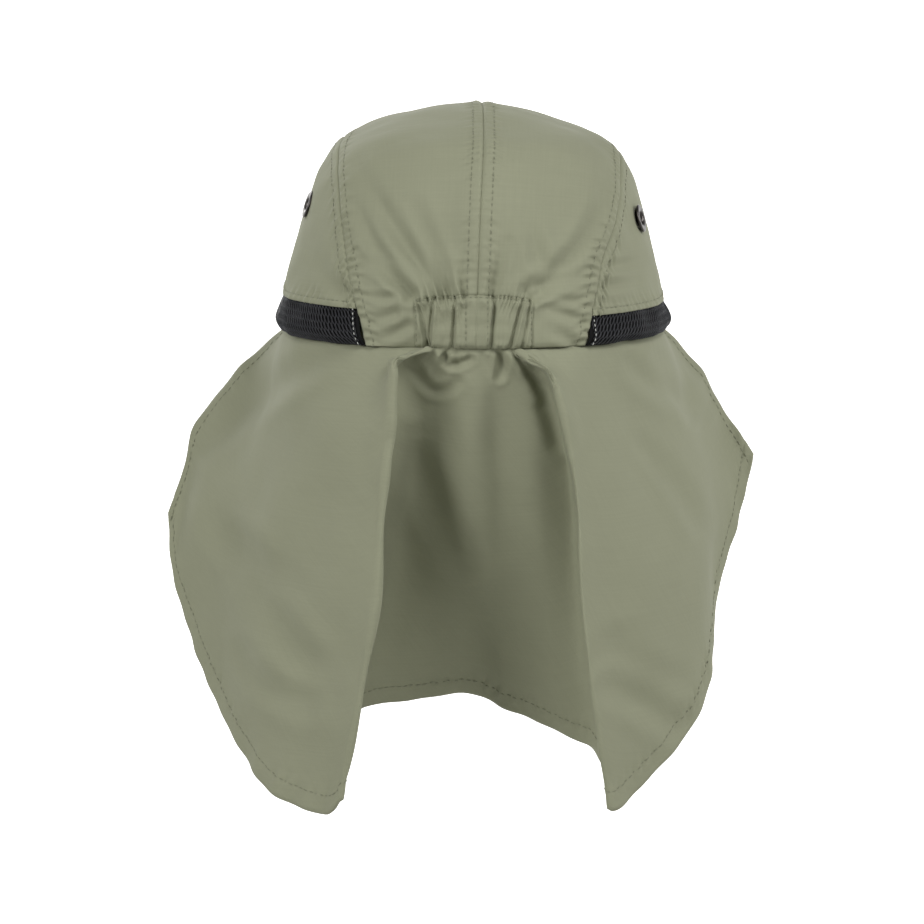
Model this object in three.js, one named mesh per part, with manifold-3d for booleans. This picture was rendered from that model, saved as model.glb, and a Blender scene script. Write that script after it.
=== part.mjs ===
// A legionnaire cap: a crown of four sewn panels, a mesh band low on each side, a gathered
// elastic casing at the back, a long neck flap hung under the rim and a peak at the front.
// Millimetres, +Z up, front to -Y, the wearer's left to +X.
// The origin is the middle of the head opening, level with the rim.
import * as THREE from "three";
import { mergeVertices } from "three/addons/utils/BufferGeometryUtils.js";
import Module from "manifold-3d";

// Crown
const CROWN_HEIGHT = 101.5;
const CROWN_HALF_WIDTH = 87;
const CROWN_HALF_LENGTH = 97;
const CROWN_CLOTH = 1.5;
const SECTION_SQUARENESS = 2.2; // 2 is an ellipse, more is squarer
const CREASE_DEPTH = 1.6;
const CREASE_WIDTH = 5;

// Clearances
const SEAM_GAP = 0.3; // between two pieces that are sewn together
const EYELET_GAP = 1.2; // inside the cloth, where the washer clears the flat facets

// Mesh bands
const BAND_HEIGHTS = { left: 15.5, right: 12.5 }; // the cap is held a little to one side
const BAND_WALL = 3;
const BAND_BULGE = 3;

// Elastic casing
const CASING_WIDTH = 50;
const CASING_HEIGHT = 22;
const CASING_WALL = 3.5;
const CASING_PUFF = 0.8;
const CASING_SHIFT = 1; // to the wearer's left of the middle
const PLEAT_DEPTH = 1.1;
const PLEAT_PITCH = 6.2;

// Eyelets
const EYELET_RADIUS = 6.2;
const EYELET_BORE = 2.6;
const EYELET_BARREL = 3.6;
const EYELET_RIM = 1.1;
const EYELET_BACK = { left: 23, right: 33 }; // behind the middle of the crown
const EYELET_UP_LEFT = 56;
const EYELET_UP_RIGHT = 50.5;

// Neck flap
const FLAP_LENGTH = 205; // rim to hem along the ridge of a fold
const FLAP_FLARE_SIDE = 53; // the hem's half width past the crown's
const FLAP_FLARE_BACK = 25; // the folds' reach behind the crown
const FLAP_CLOTH = 1.2;
const HEM_CLOTH = 2;
const HEM_WIDTH = 9;
const FLAP_INSET = 2.2; // the flap is sewn on inside the rim's outer face

// Peak
const PEAK_LENGTH = 70;
const PEAK_WIDEN = 10;
const PEAK_THICKNESS = 3;
const PEAK_SLOPE = 14; // fall from the rim to the front edge
const PEAK_ARCH = 24; // further fall at its sides
const PEAK_HALF_ANGLE = 54; // degrees of the rim on each side of the front
const PEAK_INSET = 3; // sewn on under the rim

// Smoothness
const CROWN_STEPS = 22;
const PANEL_STEPS = 8;
const BAND_STEPS = 24;
const FOLD_STEPS = 3;
const FLAP_STEPS = 19;
const PEAK_STEPS = 26;

// Level sections of the crown from the rim to the top. Columns: height as a share of
// CROWN_HEIGHT, left and right as shares of CROWN_HALF_WIDTH, back and front as shares of
// CROWN_HALF_LENGTH.
const SECTIONS = [
  { up: 0, left: 1.005, right: 0.985, back: 1, front: 1 },
  { up: 0.197, left: 0.985, right: 0.957, back: 0.99, front: 1.005 },
  { up: 0.394, left: 0.922, right: 0.906, back: 0.955, front: 0.99 },
  { up: 0.571, left: 0.862, right: 0.856, back: 0.9, front: 0.945 },
  { up: 0.719, left: 0.786, right: 0.786, back: 0.82, front: 0.86 },
  { up: 0.837, left: 0.672, right: 0.655, back: 0.69, front: 0.715 },
  { up: 0.916, left: 0.471, right: 0.425, back: 0.48, front: 0.49 },
  { up: 0.972, left: 0.241, right: 0.213, back: 0.24, front: 0.24 },
  { up: 1, left: 0, right: 0, back: 0, front: 0 },
];

// The two long seams from the back of the rim over the top to its front, on the flat disc
// that the crown is drawn from (radius 1 at the rim, 0 at the top).
// Columns: back, and how far the left and right seams lie from the middle there. The first
// and last rows are moved out to the rim.
const SEAM_POINTS = [
  { back: 0.857, left: 0.515, right: 0.524 },
  { back: 0.72, left: 0.509, right: 0.512 },
  { back: 0.59, left: 0.512, right: 0.508 },
  { back: 0.48, left: 0.5, right: 0.524 },
  { back: 0.33, left: 0.462, right: 0.51 },
  { back: 0.15, left: 0.41, right: 0.462 },
  { back: 0, left: 0.375, right: 0.436 },
  { back: -0.2, left: 0.365, right: 0.404 },
  { back: -0.42, left: 0.4, right: 0.42 },
  { back: -0.62, left: 0.48, right: 0.49 },
  { back: -0.79, left: 0.613, right: 0.613 },
];

// Creases that fan out of the casing over the back. Columns: where each starts and ends,
// across as shares of CROWN_HALF_WIDTH and up as shares of CROWN_HEIGHT.
const CREASES = [
  { fromAcross: 0.29, fromUp: 0.25, toAcross: 0.55, toUp: 0.69 },
  { fromAcross: 0.17, fromUp: 0.28, toAcross: 0.37, toUp: 0.51 },
  { fromAcross: -0.15, fromUp: 0.24, toAcross: -0.33, toUp: 0.34 },
  { fromAcross: -0.23, fromUp: 0.24, toAcross: -0.65, toUp: 0.45 },
];

// The band's outer face. Columns: height as a share of the band's, and how far it stands
// out of the crown as a share of BAND_BULGE.
const BAND_PROFILE = [
  { up: 0, out: 0.35 },
  { up: 0.12, out: 0.85 },
  { up: 0.3, out: 1.05 },
  { up: 0.6, out: 0.62 },
  { up: 0.84, out: 0.15 },
  { up: 1, out: -0.1 },
];

// Folds of the flap, from the wearer's left edge round the back to the right edge.
// Columns: the fold's place on the rim in degrees from the back, spring (under 1 where the
// cloth springs out fast below the rim), its length as a share of FLAP_LENGTH, and its place
// in plan at the upper, middle and hem stations: across as shares of the hem's half width
// and back as shares of its reach.
const FOLDS = [
  { at: 112, spring: 1, length: 0.56, upper: [0.728, -0.29], middle: [0.905, -0.22], hem: [1.01, -0.11] },
  { at: 98, spring: 1, length: 0.69, upper: [0.708, -0.09], middle: [0.878, 0], hem: [0.96, 0.04] },
  { at: 80, spring: 1, length: 0.81, upper: [0.665, 0.2], middle: [0.78, 0.25], hem: [0.845, 0.29] },
  { at: 62, spring: 1, length: 0.9, upper: [0.585, 0.46], middle: [0.675, 0.51], hem: [0.735, 0.54] },
  { at: 46, spring: 1, length: 0.96, upper: [0.485, 0.655], middle: [0.545, 0.72], hem: [0.645, 0.72] },
  { at: 28, spring: 0.9, length: 0.995, upper: [0.365, 0.82], middle: [0.4, 0.9], hem: [0.525, 0.86] },
  { at: 11, spring: 0.18, length: 1.01, upper: [0.255, 0.9], middle: [0.303, 0.985], hem: [0.405, 1.01] },
  { at: 9.5, spring: 0.2, length: 0.98, upper: [0.285, 0.8], middle: [0.345, 0.77], hem: [0.475, 0.755] },
  { at: 6.5, spring: 0.6, length: 0.87, upper: [0.18, 0.67], middle: [0.25, 0.49], hem: [0.385, 0.41] },
  { at: 0.5, spring: 1, length: 0.875, upper: [0.03, 0.72], middle: [0.035, 0.54], hem: [0.055, 0.23] },
  { at: -3.5, spring: 1, length: 0.87, upper: [-0.07, 0.69], middle: [-0.085, 0.54], hem: [-0.1, 0.31] },
  { at: -6, spring: 0.8, length: 0.888, upper: [-0.165, 0.71], middle: [-0.21, 0.57], hem: [-0.25, 0.41] },
  { at: -8, spring: 0.6, length: 0.945, upper: [-0.268, 0.69], middle: [-0.325, 0.59], hem: [-0.385, 0.53] },
  { at: -9.2, spring: 0.55, length: 1, upper: [-0.288, 0.8], middle: [-0.35, 0.77], hem: [-0.45, 0.755] },
  { at: -10.2, spring: 0.6, length: 1.015, upper: [-0.283, 0.9], middle: [-0.322, 0.985], hem: [-0.405, 1] },
  { at: -26, spring: 0.9, length: 0.94, upper: [-0.35, 0.82], middle: [-0.41, 0.9], hem: [-0.515, 0.88] },
  { at: -42, spring: 1, length: 0.85, upper: [-0.46, 0.655], middle: [-0.545, 0.74], hem: [-0.652, 0.705] },
  { at: -58, spring: 1, length: 0.75, upper: [-0.565, 0.475], middle: [-0.66, 0.54], hem: [-0.74, 0.525] },
  { at: -78, spring: 1, length: 0.625, upper: [-0.65, 0.2], middle: [-0.745, 0.24], hem: [-0.765, 0.27] },
  { at: -98, spring: 1, length: 0.49, upper: [-0.67, -0.09], middle: [-0.78, -0.03], hem: [-0.85, 0.01] },
  { at: -112, spring: 1, length: 0.41, upper: [-0.674, -0.29], middle: [-0.79, -0.25], hem: [-0.92, -0.15] },
];
const UPPER_SHARE = 0.25; // shares of each fold's length
const MIDDLE_SHARE = 0.6;
const LEAST_FALL_SHARE = 0.2; // a step of cloth falls by at least this share of its length
const SPRING_SHARE = 0.09; // a fold springs out evenly over this first share of its length
const CLOSE = 1e-4; // points nearer than this are one
const HALVINGS = 40; // of an interval, in a search for a place on the crown
const ROUND_SIDES = 16; // of an eyelet

const wasm = await Module();
wasm.setup();

// Smooth curve through evenly spaced rows of numbers, read at a place counted in rows.
function spline(rows, at) {
  const last = rows.length - 1;
  const i = Math.min(Math.max(Math.floor(at), 0), last - 1);
  const f = at - i;
  return rows[0].map((_, k) => {
    const b = rows[i][k];
    const c = rows[i + 1][k];
    const a = i > 0 ? rows[i - 1][k] : 2 * b - c;
    const d = i + 2 <= last ? rows[i + 2][k] : 2 * c - b;
    const bend = (2 * a - 5 * b + 4 * c - d) * f ** 2 + (3 * b - a - 3 * c + d) * f ** 3;
    return 0.5 * (2 * b + (c - a) * f + bend);
  });
}

const lerp = (a, b, t) => a + (b - a) * t;
const signedPower = (value, power) => Math.sign(value) * Math.abs(value) ** power;
const sectionRows = SECTIONS.map((s) => [s.up, s.left, s.right, s.back, s.front]);

// The crown's outer surface over the flat disc, without its creases.
function crown(across, back) {
  const radius = Math.hypot(across, back);
  const turn = Math.atan2(across, back);
  const [up, left, right, rear, front] = spline(sectionRows, (1 - radius) * (SECTIONS.length - 1));
  const power = 2 / SECTION_SQUARENESS;
  const halfWidth = CROWN_HALF_WIDTH * (across > 0 ? left : right);
  const halfLength = CROWN_HALF_LENGTH * (back > 0 ? rear : front);
  return new THREE.Vector3(
    halfWidth * signedPower(Math.sin(turn), power),
    halfLength * signedPower(Math.cos(turn), power),
    CROWN_HEIGHT * up,
  );
}

function crownNormal(across, back) {
  const step = 0.01;
  const alongX = crown(across + step, back).sub(crown(across - step, back));
  const alongY = crown(across, back + step).sub(crown(across, back - step));
  return alongX.cross(alongY).normalize();
}

// The disc radius at which the crown is a given height above the rim.
function radiusAtHeight(height) {
  let inner = 0;
  let outer = 1;
  for (let i = 0; i < HALVINGS; i += 1) {
    const middle = (inner + outer) / 2;
    const [up] = spline(sectionRows, (1 - middle) * (SECTIONS.length - 1));
    if (up * CROWN_HEIGHT > height) inner = middle;
    else outer = middle;
  }
  return (inner + outer) / 2;
}

// The crown with the creases that fan out of the casing.
function creasedCrown(across, back) {
  const point = crown(across, back);
  if (back < 0) return point;
  let depth = 0;
  for (const crease of CREASES) {
    const from = new THREE.Vector2(crease.fromAcross * CROWN_HALF_WIDTH, crease.fromUp * CROWN_HEIGHT);
    const to = new THREE.Vector2(crease.toAcross * CROWN_HALF_WIDTH, crease.toUp * CROWN_HEIGHT);
    const run = to.clone().sub(from);
    const here = new THREE.Vector2(point.x, point.z).sub(from);
    const along = THREE.MathUtils.clamp(here.dot(run) / run.lengthSq(), 0, 1);
    const away = here.sub(run.multiplyScalar(along)).length();
    depth += CREASE_DEPTH * (1 - along) * Math.exp(-((away / CREASE_WIDTH) ** 2));
  }
  return point.addScaledVector(crownNormal(across, back), -depth);
}

function closedGeometry(positions, triangles) {
  const loose = new THREE.BufferGeometry();
  loose.setAttribute("position", new THREE.Float32BufferAttribute(positions.flatMap((p) => p.toArray()), 3));
  loose.setIndex(triangles.flat());
  const merged = mergeVertices(loose, CLOSE);
  const index = merged.index.array;
  const kept = [];
  for (let i = 0; i < index.length; i += 3) {
    const [a, b, c] = index.subarray(i, i + 3);
    if (a !== b && b !== c && c !== a) kept.push(a, b, c);
  }
  merged.setIndex(kept);
  return merged;
}

// A wall whose outer face is a grid of points, given row by row, with a thickness for each
// column. Its inner face lies along the given normals, or else along those of the grid.
// Between two heights its thickness is measured level, so that sewn edges meet squarely.
function wall(rows, thicknessAt, levelFrom, levelTo, givenNormals) {
  const across = rows[0].length;
  const points = rows.flat();
  const normals = points.map(() => new THREE.Vector3());
  const cells = [];
  for (let i = 0; i + 1 < rows.length; i += 1) {
    for (let j = 0; j + 1 < across; j += 1) {
      const a = i * across + j;
      cells.push([a, a + across, a + across + 1], [a, a + across + 1, a + 1]);
    }
  }
  for (const [a, b, c] of cells) {
    const face = points[b].clone().sub(points[a]).cross(points[c].clone().sub(points[a]));
    for (const corner of [a, b, c]) normals[corner].add(face);
  }
  const shared = new Map();
  const keys = points.map((p) => p.toArray().map((v) => v.toFixed(3)).join());
  keys.forEach((key, i) => shared.set(key, (shared.get(key) ?? new THREE.Vector3()).add(normals[i])));
  const count = points.length;
  const inside = points.map((point, i) => {
    const normal = (givenNormals?.flat()[i] ?? shared.get(keys[i])).clone();
    if (point.z > levelFrom - CLOSE && point.z < levelTo + CLOSE) normal.z = 0;
    return point.clone().addScaledVector(normal.normalize(), -thicknessAt(i % across));
  });
  const edge = [];
  for (let j = 0; j < across; j += 1) edge.push(j);
  for (let i = 1; i < rows.length; i += 1) edge.push(i * across + across - 1);
  for (let j = across - 2; j >= 0; j -= 1) edge.push((rows.length - 1) * across + j);
  for (let i = rows.length - 2; i > 0; i -= 1) edge.push(i * across);
  const triangles = [...cells];
  for (const [a, b, c] of cells) triangles.push([a + count, c + count, b + count]);
  edge.forEach((a, k) => {
    const b = edge[(k + 1) % edge.length];
    triangles.push([a, b, b + count], [a, b + count, a + count]);
  });
  return closedGeometry([...points, ...inside], triangles);
}

// A wall of crown cloth over a grid of places on the disc.
function crownWall(places, side) {
  const points = places.map((row) => row.map((place) => creasedCrown(...place)));
  const normals = places.map((row) => row.map((place) => crownNormal(...place)));
  return wall(points, () => CROWN_CLOTH, 0, BAND_HEIGHTS[side] + SEAM_GAP, normals);
}

function solidOf(geometry) {
  const bare = geometry.clone();
  bare.deleteAttribute("normal");
  bare.deleteAttribute("uv");
  const merged = mergeVertices(bare, CLOSE);
  return new wasm.Manifold(
    new wasm.Mesh({
      numProp: 3,
      vertProperties: new Float32Array(merged.attributes.position.array),
      triVerts: new Uint32Array(merged.index.array),
    }),
  );
}

function cut(geometry, tool) {
  const result = solidOf(geometry).subtract(solidOf(tool)).getMesh();
  const cutGeometry = new THREE.BufferGeometry();
  cutGeometry.setAttribute("position", new THREE.BufferAttribute(result.vertProperties, 3));
  cutGeometry.setIndex(new THREE.BufferAttribute(result.triVerts, 1));
  return cutGeometry;
}

const halfGap = SEAM_GAP / 2 / CROWN_HALF_WIDTH;
const seamRows = {
  left: SEAM_POINTS.map((p) => [p.left, p.back]),
  right: SEAM_POINTS.map((p) => [-p.right, p.back]),
};
for (const rows of Object.values(seamRows)) {
  for (const end of [rows[0], rows[rows.length - 1]]) end[1] = Math.sign(end[1]) * Math.sqrt(1 - end[0] ** 2);
}

// A side seam on the disc, from 0 at the back of the rim to 1 at the front, moved toward the
// side by a share of the disc.
function seam(side, along, moved) {
  const [across, back] = spline(seamRows[side], along * (SEAM_POINTS.length - 1));
  return [across + moved * Math.sign(across), back];
}

// The middle seam, which leans a little to the wearer's right over the top.
function middleSeam(back, moved) {
  const lean = 0.02;
  return [-lean * (1 - back * back) + moved, back];
}

// How far along a side seam the crown is a given height, on the way up or down.
function seamAtRadius(side, radius, low, high) {
  let outside = low;
  let inside = high;
  for (let i = 0; i < HALVINGS; i += 1) {
    const middle = (outside + inside) / 2;
    if (Math.hypot(...seam(side, middle, 0)) > radius) outside = middle;
    else inside = middle;
  }
  return (outside + inside) / 2;
}

function arcPoint(fromPoint, toPoint, share, radius) {
  const from = Math.atan2(fromPoint[0], fromPoint[1]);
  const to = Math.atan2(toPoint[0], toPoint[1]);
  const turn = lerp(from, to, share);
  return [radius * Math.sin(turn), radius * Math.cos(turn)];
}

// One centre panel: the strip from the middle seam to a side seam, back to front.
function centrePanel(side) {
  const toward = side === "left" ? 1 : -1;
  const [rearBack, frontBack] = [0, 1].map((end) => Math.abs(seam(side, end, 0)[1]));
  const rows = [];
  for (let i = 0; i <= CROWN_STEPS; i += 1) {
    const along = i / CROWN_STEPS;
    const outer = seam(side, along, -halfGap);
    const inner = middleSeam(outer[1] / (outer[1] > 0 ? rearBack : frontBack), toward * halfGap);
    const ends = [0, 1].map((end) => {
      const endSeam = seam(side, end, -halfGap);
      const endMiddle = [toward * halfGap, end === 0 ? 1 : -1];
      return { endSeam, endMiddle, weight: (end === 0 ? 1 - along : along) ** 2 };
    });
    const row = [];
    for (let j = 0; j <= PANEL_STEPS; j += 1) {
      const share = j / PANEL_STEPS;
      const place = [lerp(inner[0], outer[0], share), lerp(inner[1], outer[1], share)];
      for (const { endSeam, endMiddle, weight } of ends) {
        const arc = arcPoint(endMiddle, endSeam, share, 1);
        place[0] += weight * (arc[0] - lerp(endMiddle[0], endSeam[0], share));
        place[1] += weight * (arc[1] - lerp(endMiddle[1], endSeam[1], share));
      }
      row.push(place);
    }
    rows.push(side === "left" ? row : row.reverse());
  }
  const panel = crownWall(rows, side);
  const notchWidth = CASING_WIDTH + 2 * SEAM_GAP;
  const notch = new THREE.BoxGeometry(notchWidth, CROWN_HALF_LENGTH, 2 * (CASING_HEIGHT + SEAM_GAP));
  notch.translate(CASING_SHIFT, CROWN_HALF_LENGTH, 0);
  return cut(panel, notch);
}

// One side panel: from its seam down to the top of the mesh band.
function sidePanel(side) {
  const radius = radiusAtHeight(BAND_HEIGHTS[side]);
  const start = seamAtRadius(side, radius, 0, 0.5);
  const end = seamAtRadius(side, radius, 1, 0.5);
  const first = seam(side, start, halfGap);
  const last = seam(side, end, halfGap);
  const places = [start];
  for (let i = 1; i < CROWN_STEPS; i += 1) {
    const along = i / CROWN_STEPS;
    if (along > start && along < end) places.push(along);
  }
  places.push(end);
  const rows = [];
  for (const place of places) {
    const along = (place - start) / (end - start);
    const inner = seam(side, place, halfGap);
    const atCorner = place === start || place === end;
    const outer = atCorner ? inner : arcPoint(first, last, along, radius);
    const row = [];
    for (let j = 0; j <= PANEL_STEPS; j += 1) {
      const share = j / PANEL_STEPS;
      row.push([lerp(inner[0], outer[0], share), lerp(inner[1], outer[1], share)]);
    }
    rows.push(side === "left" ? row : row.reverse());
  }
  const panel = crownWall(rows, side);
  const hole = EYELET_BARREL + SEAM_GAP;
  const drill = new THREE.CylinderGeometry(hole, hole, EYELET_RADIUS * 2, ROUND_SIDES);
  const { middle, turn } = eyeletPlace(side);
  drill.applyQuaternion(turn);
  drill.translate(...middle.toArray());
  return cut(panel, drill);
}

function meshBand(side) {
  const bandHeight = BAND_HEIGHTS[side];
  const topRadius = radiusAtHeight(bandHeight);
  const rows = [];
  for (let i = 0; i <= BAND_STEPS; i += 1) {
    const row = [];
    for (const { up, out } of BAND_PROFILE) {
      const height = up * (bandHeight - SEAM_GAP);
      const radius = radiusAtHeight(height);
      const rise = (1 - radius) / (1 - topRadius);
      const rear = seam(side, rise * seamAtRadius(side, topRadius, 0, 0.5), halfGap);
      const front = seam(side, lerp(1, seamAtRadius(side, topRadius, 1, 0.5), rise), halfGap);
      const [across, back] = arcPoint(rear, front, i / BAND_STEPS, radius);
      const normal = crownNormal(across, back);
      normal.z = 0;
      const point = crown(across, back).addScaledVector(normal.normalize(), out * BAND_BULGE);
      point.z = height;
      row.push(point);
    }
    rows.push(side === "left" ? row.reverse() : row);
  }
  return wall(rows, () => BAND_WALL, 0, bandHeight);
}

function casing() {
  const stepsInPleat = 5;
  const steps = stepsInPleat * Math.round(CASING_WIDTH / PLEAT_PITCH);
  const levels = 5;
  const rows = [];
  for (let i = 0; i <= steps; i += 1) {
    const share = i / steps;
    const x = CASING_SHIFT + CASING_WIDTH * (0.5 - share);
    const taper = Math.min(1, 6 * share, 6 * (1 - share));
    const pleat = Math.cos((share - 0.5) * CASING_WIDTH * 2 * Math.PI / PLEAT_PITCH) * PLEAT_DEPTH * taper;
    const row = [];
    for (let j = 0; j <= levels; j += 1) {
      const up = j / levels;
      const radius = radiusAtHeight(up * CASING_HEIGHT);
      const turn = Math.asin(signedPower(x / CROWN_HALF_WIDTH, SECTION_SQUARENESS / 2));
      const [across, back] = [radius * Math.sin(turn), radius * Math.cos(turn)];
      const swell = Math.sin(up * Math.PI);
      const out = taper * swell * CASING_PUFF + pleat * (0.35 + 0.65 * swell) - PLEAT_DEPTH / 2;
      row.push(crown(across, back).addScaledVector(crownNormal(across, back).setZ(0).normalize(), out));
    }
    rows.push(row);
  }
  return wall(rows, () => CASING_WALL, 0, CASING_HEIGHT);
}

function eyeletPlace(side) {
  const height = side === "left" ? EYELET_UP_LEFT : EYELET_UP_RIGHT;
  const radius = radiusAtHeight(height);
  const [, , , rear] = spline(sectionRows, (1 - radius) * (SECTIONS.length - 1));
  const share = Math.min(EYELET_BACK[side] / (CROWN_HALF_LENGTH * rear), 1);
  const turn = Math.acos(share ** (SECTION_SQUARENESS / 2)) * (side === "left" ? 1 : -1);
  const place = [radius * Math.sin(turn), radius * Math.cos(turn)];
  const middle = crown(...place);
  const normal = crownNormal(...place);
  return { middle, turn: new THREE.Quaternion().setFromUnitVectors(new THREE.Vector3(0, 1, 0), normal) };
}

// A pressed eyelet: a rounded rim outside, a barrel through the cloth and a washer inside.
function eyeletGeometry() {
  const washer = -CROWN_CLOTH - EYELET_GAP;
  const chamfer = EYELET_RIM * 0.4;
  const profile = [
    [EYELET_BORE, washer - EYELET_RIM],
    [EYELET_RADIUS - chamfer, washer - EYELET_RIM],
    [EYELET_RADIUS - chamfer, washer],
    [EYELET_BARREL, washer],
    [EYELET_BARREL, SEAM_GAP],
    [EYELET_RADIUS, SEAM_GAP],
    [EYELET_RADIUS, SEAM_GAP + EYELET_RIM - chamfer],
    [EYELET_RADIUS - chamfer, SEAM_GAP + EYELET_RIM],
    [EYELET_BORE + chamfer, SEAM_GAP + EYELET_RIM],
    [EYELET_BORE, SEAM_GAP + EYELET_RIM - chamfer],
    [EYELET_BORE, washer - EYELET_RIM],
  ];
  const lathe = new THREE.LatheGeometry(profile.map(([r, y]) => new THREE.Vector2(r, y)), ROUND_SIDES);
  lathe.deleteAttribute("normal");
  lathe.deleteAttribute("uv");
  return mergeVertices(lathe, CLOSE);
}

// A point of the rim, moved in from the crown's outer face.
function rimPoint(degrees, inset) {
  const turn = THREE.MathUtils.degToRad(degrees);
  const point = crown(Math.sin(turn), Math.cos(turn));
  const normal = crownNormal(Math.sin(turn), Math.cos(turn)).setZ(0).normalize();
  return point.addScaledVector(normal, -inset);
}

function hermite(a, b, slopeA, slopeB, span, t) {
  const t2 = t * t;
  const t3 = t2 * t;
  return (2 * t3 - 3 * t2 + 1) * a + (t3 - 2 * t2 + t) * span * slopeA
    + (3 * t2 - 2 * t3) * b + (t3 - t2) * span * slopeB;
}

// The flap: each fold runs from the rim through its stations in plan, and falls as far as
// its length of cloth lets it.
function neckFlap() {
  const spread = CROWN_HALF_WIDTH + FLAP_FLARE_SIDE;
  const reach = CROWN_HALF_LENGTH + FLAP_FLARE_BACK;
  const table = FOLDS.map((f) => [f.at, f.spring, f.length, ...f.upper, ...f.middle, ...f.hem]);
  const stations = [0, UPPER_SHARE, MIDDLE_SHARE, 1];
  const count = (FOLDS.length - 1) * FOLD_STEPS;
  const rows = [];
  for (let i = 0; i <= count; i += 1) {
    const fold = spline(table, i / FOLD_STEPS);
    const [at, spring, lengthShare] = fold;
    const length = lengthShare * FLAP_LENGTH;
    const top = rimPoint(at, FLAP_INSET);
    const plan = [[top.x, top.y]];
    for (let k = 3; k < fold.length; k += 2) plan.push([fold[k] * spread, fold[k + 1] * reach]);
    const slopes = plan.map((_, k) => {
      const before = Math.max(k - 1, 0);
      const after = Math.min(k + 1, plan.length - 1);
      const run = stations[after] - stations[before];
      return [0, 1].map((axis) => (plan[after][axis] - plan[before][axis]) / run);
    });
    const row = [new THREE.Vector3(top.x, top.y, -SEAM_GAP)];
    const body = 1 - HEM_WIDTH / length;
    for (let j = 1; j <= FLAP_STEPS; j += 1) {
      const share = j === FLAP_STEPS ? 1 : body * j / (FLAP_STEPS - 1);
      const before = row[row.length - 1];
      const past = Math.max(share, SPRING_SHARE);
      const sprung = past < UPPER_SHARE ? UPPER_SHARE * (past / UPPER_SHARE) ** spring : past;
      const eased = share < SPRING_SHARE ? sprung * share / SPRING_SHARE : sprung;
      const k = eased < UPPER_SHARE ? 0 : eased < MIDDLE_SHARE ? 1 : 2;
      const span = stations[k + 1] - stations[k];
      const t = (eased - stations[k]) / span;
      const [x, y] = [0, 1].map((axis) => (
        hermite(plan[k][axis], plan[k + 1][axis], slopes[k][axis], slopes[k + 1][axis], span, t)));
      const cloth = length * (share - (j === 1 ? 0 : body * (j - 1) / (FLAP_STEPS - 1)));
      const level = Math.hypot(x - before.x, y - before.y);
      const fall = Math.sqrt(Math.max(cloth ** 2 - level ** 2, (LEAST_FALL_SHARE * cloth) ** 2));
      row.push(new THREE.Vector3(x, y, before.z - fall));
    }
    rows.push(row);
  }
  const clothAt = (column) => (column >= FLAP_STEPS - 1 ? HEM_CLOTH : FLAP_CLOTH);
  return wall(rows, clothAt, -SEAM_GAP, 0);
}

// The peak: a curved plate under the front of the rim, arched down at its sides.
function peak() {
  const depthSteps = 6;
  const rows = [];
  for (let i = 0; i <= PEAK_STEPS; i += 1) {
    const side = 1 - 2 * i / PEAK_STEPS;
    const root = rimPoint(180 - side * PEAK_HALF_ANGLE, PEAK_INSET);
    const fullness = Math.sqrt(Math.max(1 - side ** 4, 0));
    const row = [];
    for (let j = 0; j <= depthSteps; j += 1) {
      const out = j / depthSteps;
      row.push(new THREE.Vector3(
        root.x + side * PEAK_WIDEN * fullness * out,
        root.y - PEAK_LENGTH * fullness * out,
        -SEAM_GAP - (PEAK_SLOPE + PEAK_ARCH * side ** 2) * out * fullness,
      ));
    }
    rows.push(row);
  }
  return wall(rows, () => PEAK_THICKNESS, 0, 0);
}

const cloth = new THREE.MeshStandardMaterial({ color: 0x8f917c, roughness: 0.85, metalness: 0 });
const mesh = new THREE.MeshStandardMaterial({ color: 0x2a2a2c, roughness: 0.9, metalness: 0 });
const metal = new THREE.MeshStandardMaterial({ color: 0x55524c, roughness: 0.35, metalness: 0.9 });
const cap = new THREE.Group();

function add(name, geometry, material) {
  const node = new THREE.Mesh(geometry, material);
  node.name = name;
  cap.add(node);
  return node;
}

for (const side of ["left", "right"]) {
  add(`crown_${side}_centre`, centrePanel(side), cloth);
  add(`crown_${side}_side`, sidePanel(side), cloth);
  add(`mesh_band_${side}`, meshBand(side), mesh);
  const eyelet = add(`eyelet_${side}`, eyeletGeometry(), metal);
  const { middle, turn } = eyeletPlace(side);
  eyelet.position.copy(middle);
  eyelet.quaternion.copy(turn);
}
add("elastic_casing", casing(), cloth);
add("neck_flap", neckFlap(), cloth);
add("peak", peak(), cloth);

export default cap;
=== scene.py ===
# A legionnaire cap of olive khaki nylon, held as a head holds it and seen from behind. Each
# piece is dressed over its solid in the frame, in the order in which the cap is sewn.
import math

import bmesh
import bpy
import numpy as np
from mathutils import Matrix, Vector


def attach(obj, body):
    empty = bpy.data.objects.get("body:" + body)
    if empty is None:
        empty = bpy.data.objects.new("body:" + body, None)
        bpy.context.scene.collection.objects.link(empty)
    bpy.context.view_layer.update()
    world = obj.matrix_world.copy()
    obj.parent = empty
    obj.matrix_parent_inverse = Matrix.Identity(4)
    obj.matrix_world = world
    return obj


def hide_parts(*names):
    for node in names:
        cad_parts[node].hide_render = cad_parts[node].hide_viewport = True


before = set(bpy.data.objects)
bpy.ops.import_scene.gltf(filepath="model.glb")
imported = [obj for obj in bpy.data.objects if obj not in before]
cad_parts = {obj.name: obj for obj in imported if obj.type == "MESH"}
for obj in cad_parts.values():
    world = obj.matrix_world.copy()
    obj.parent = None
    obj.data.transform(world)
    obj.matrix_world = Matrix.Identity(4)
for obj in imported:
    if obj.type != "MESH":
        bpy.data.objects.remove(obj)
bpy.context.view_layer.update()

MM = 0.001
VIEW_PITCH = math.radians(8.3)
VIEW_DISTANCE = 1.5
VIEW_LENS = 127.9
VIEW_AIM = (0.0059, 0.0, -0.063)
SIDES = ((1, "left"), (-1, "right"))


def add_object(name, data):
    thing = bpy.data.objects.new(name, data)
    bpy.context.scene.collection.objects.link(thing)
    return thing


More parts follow.
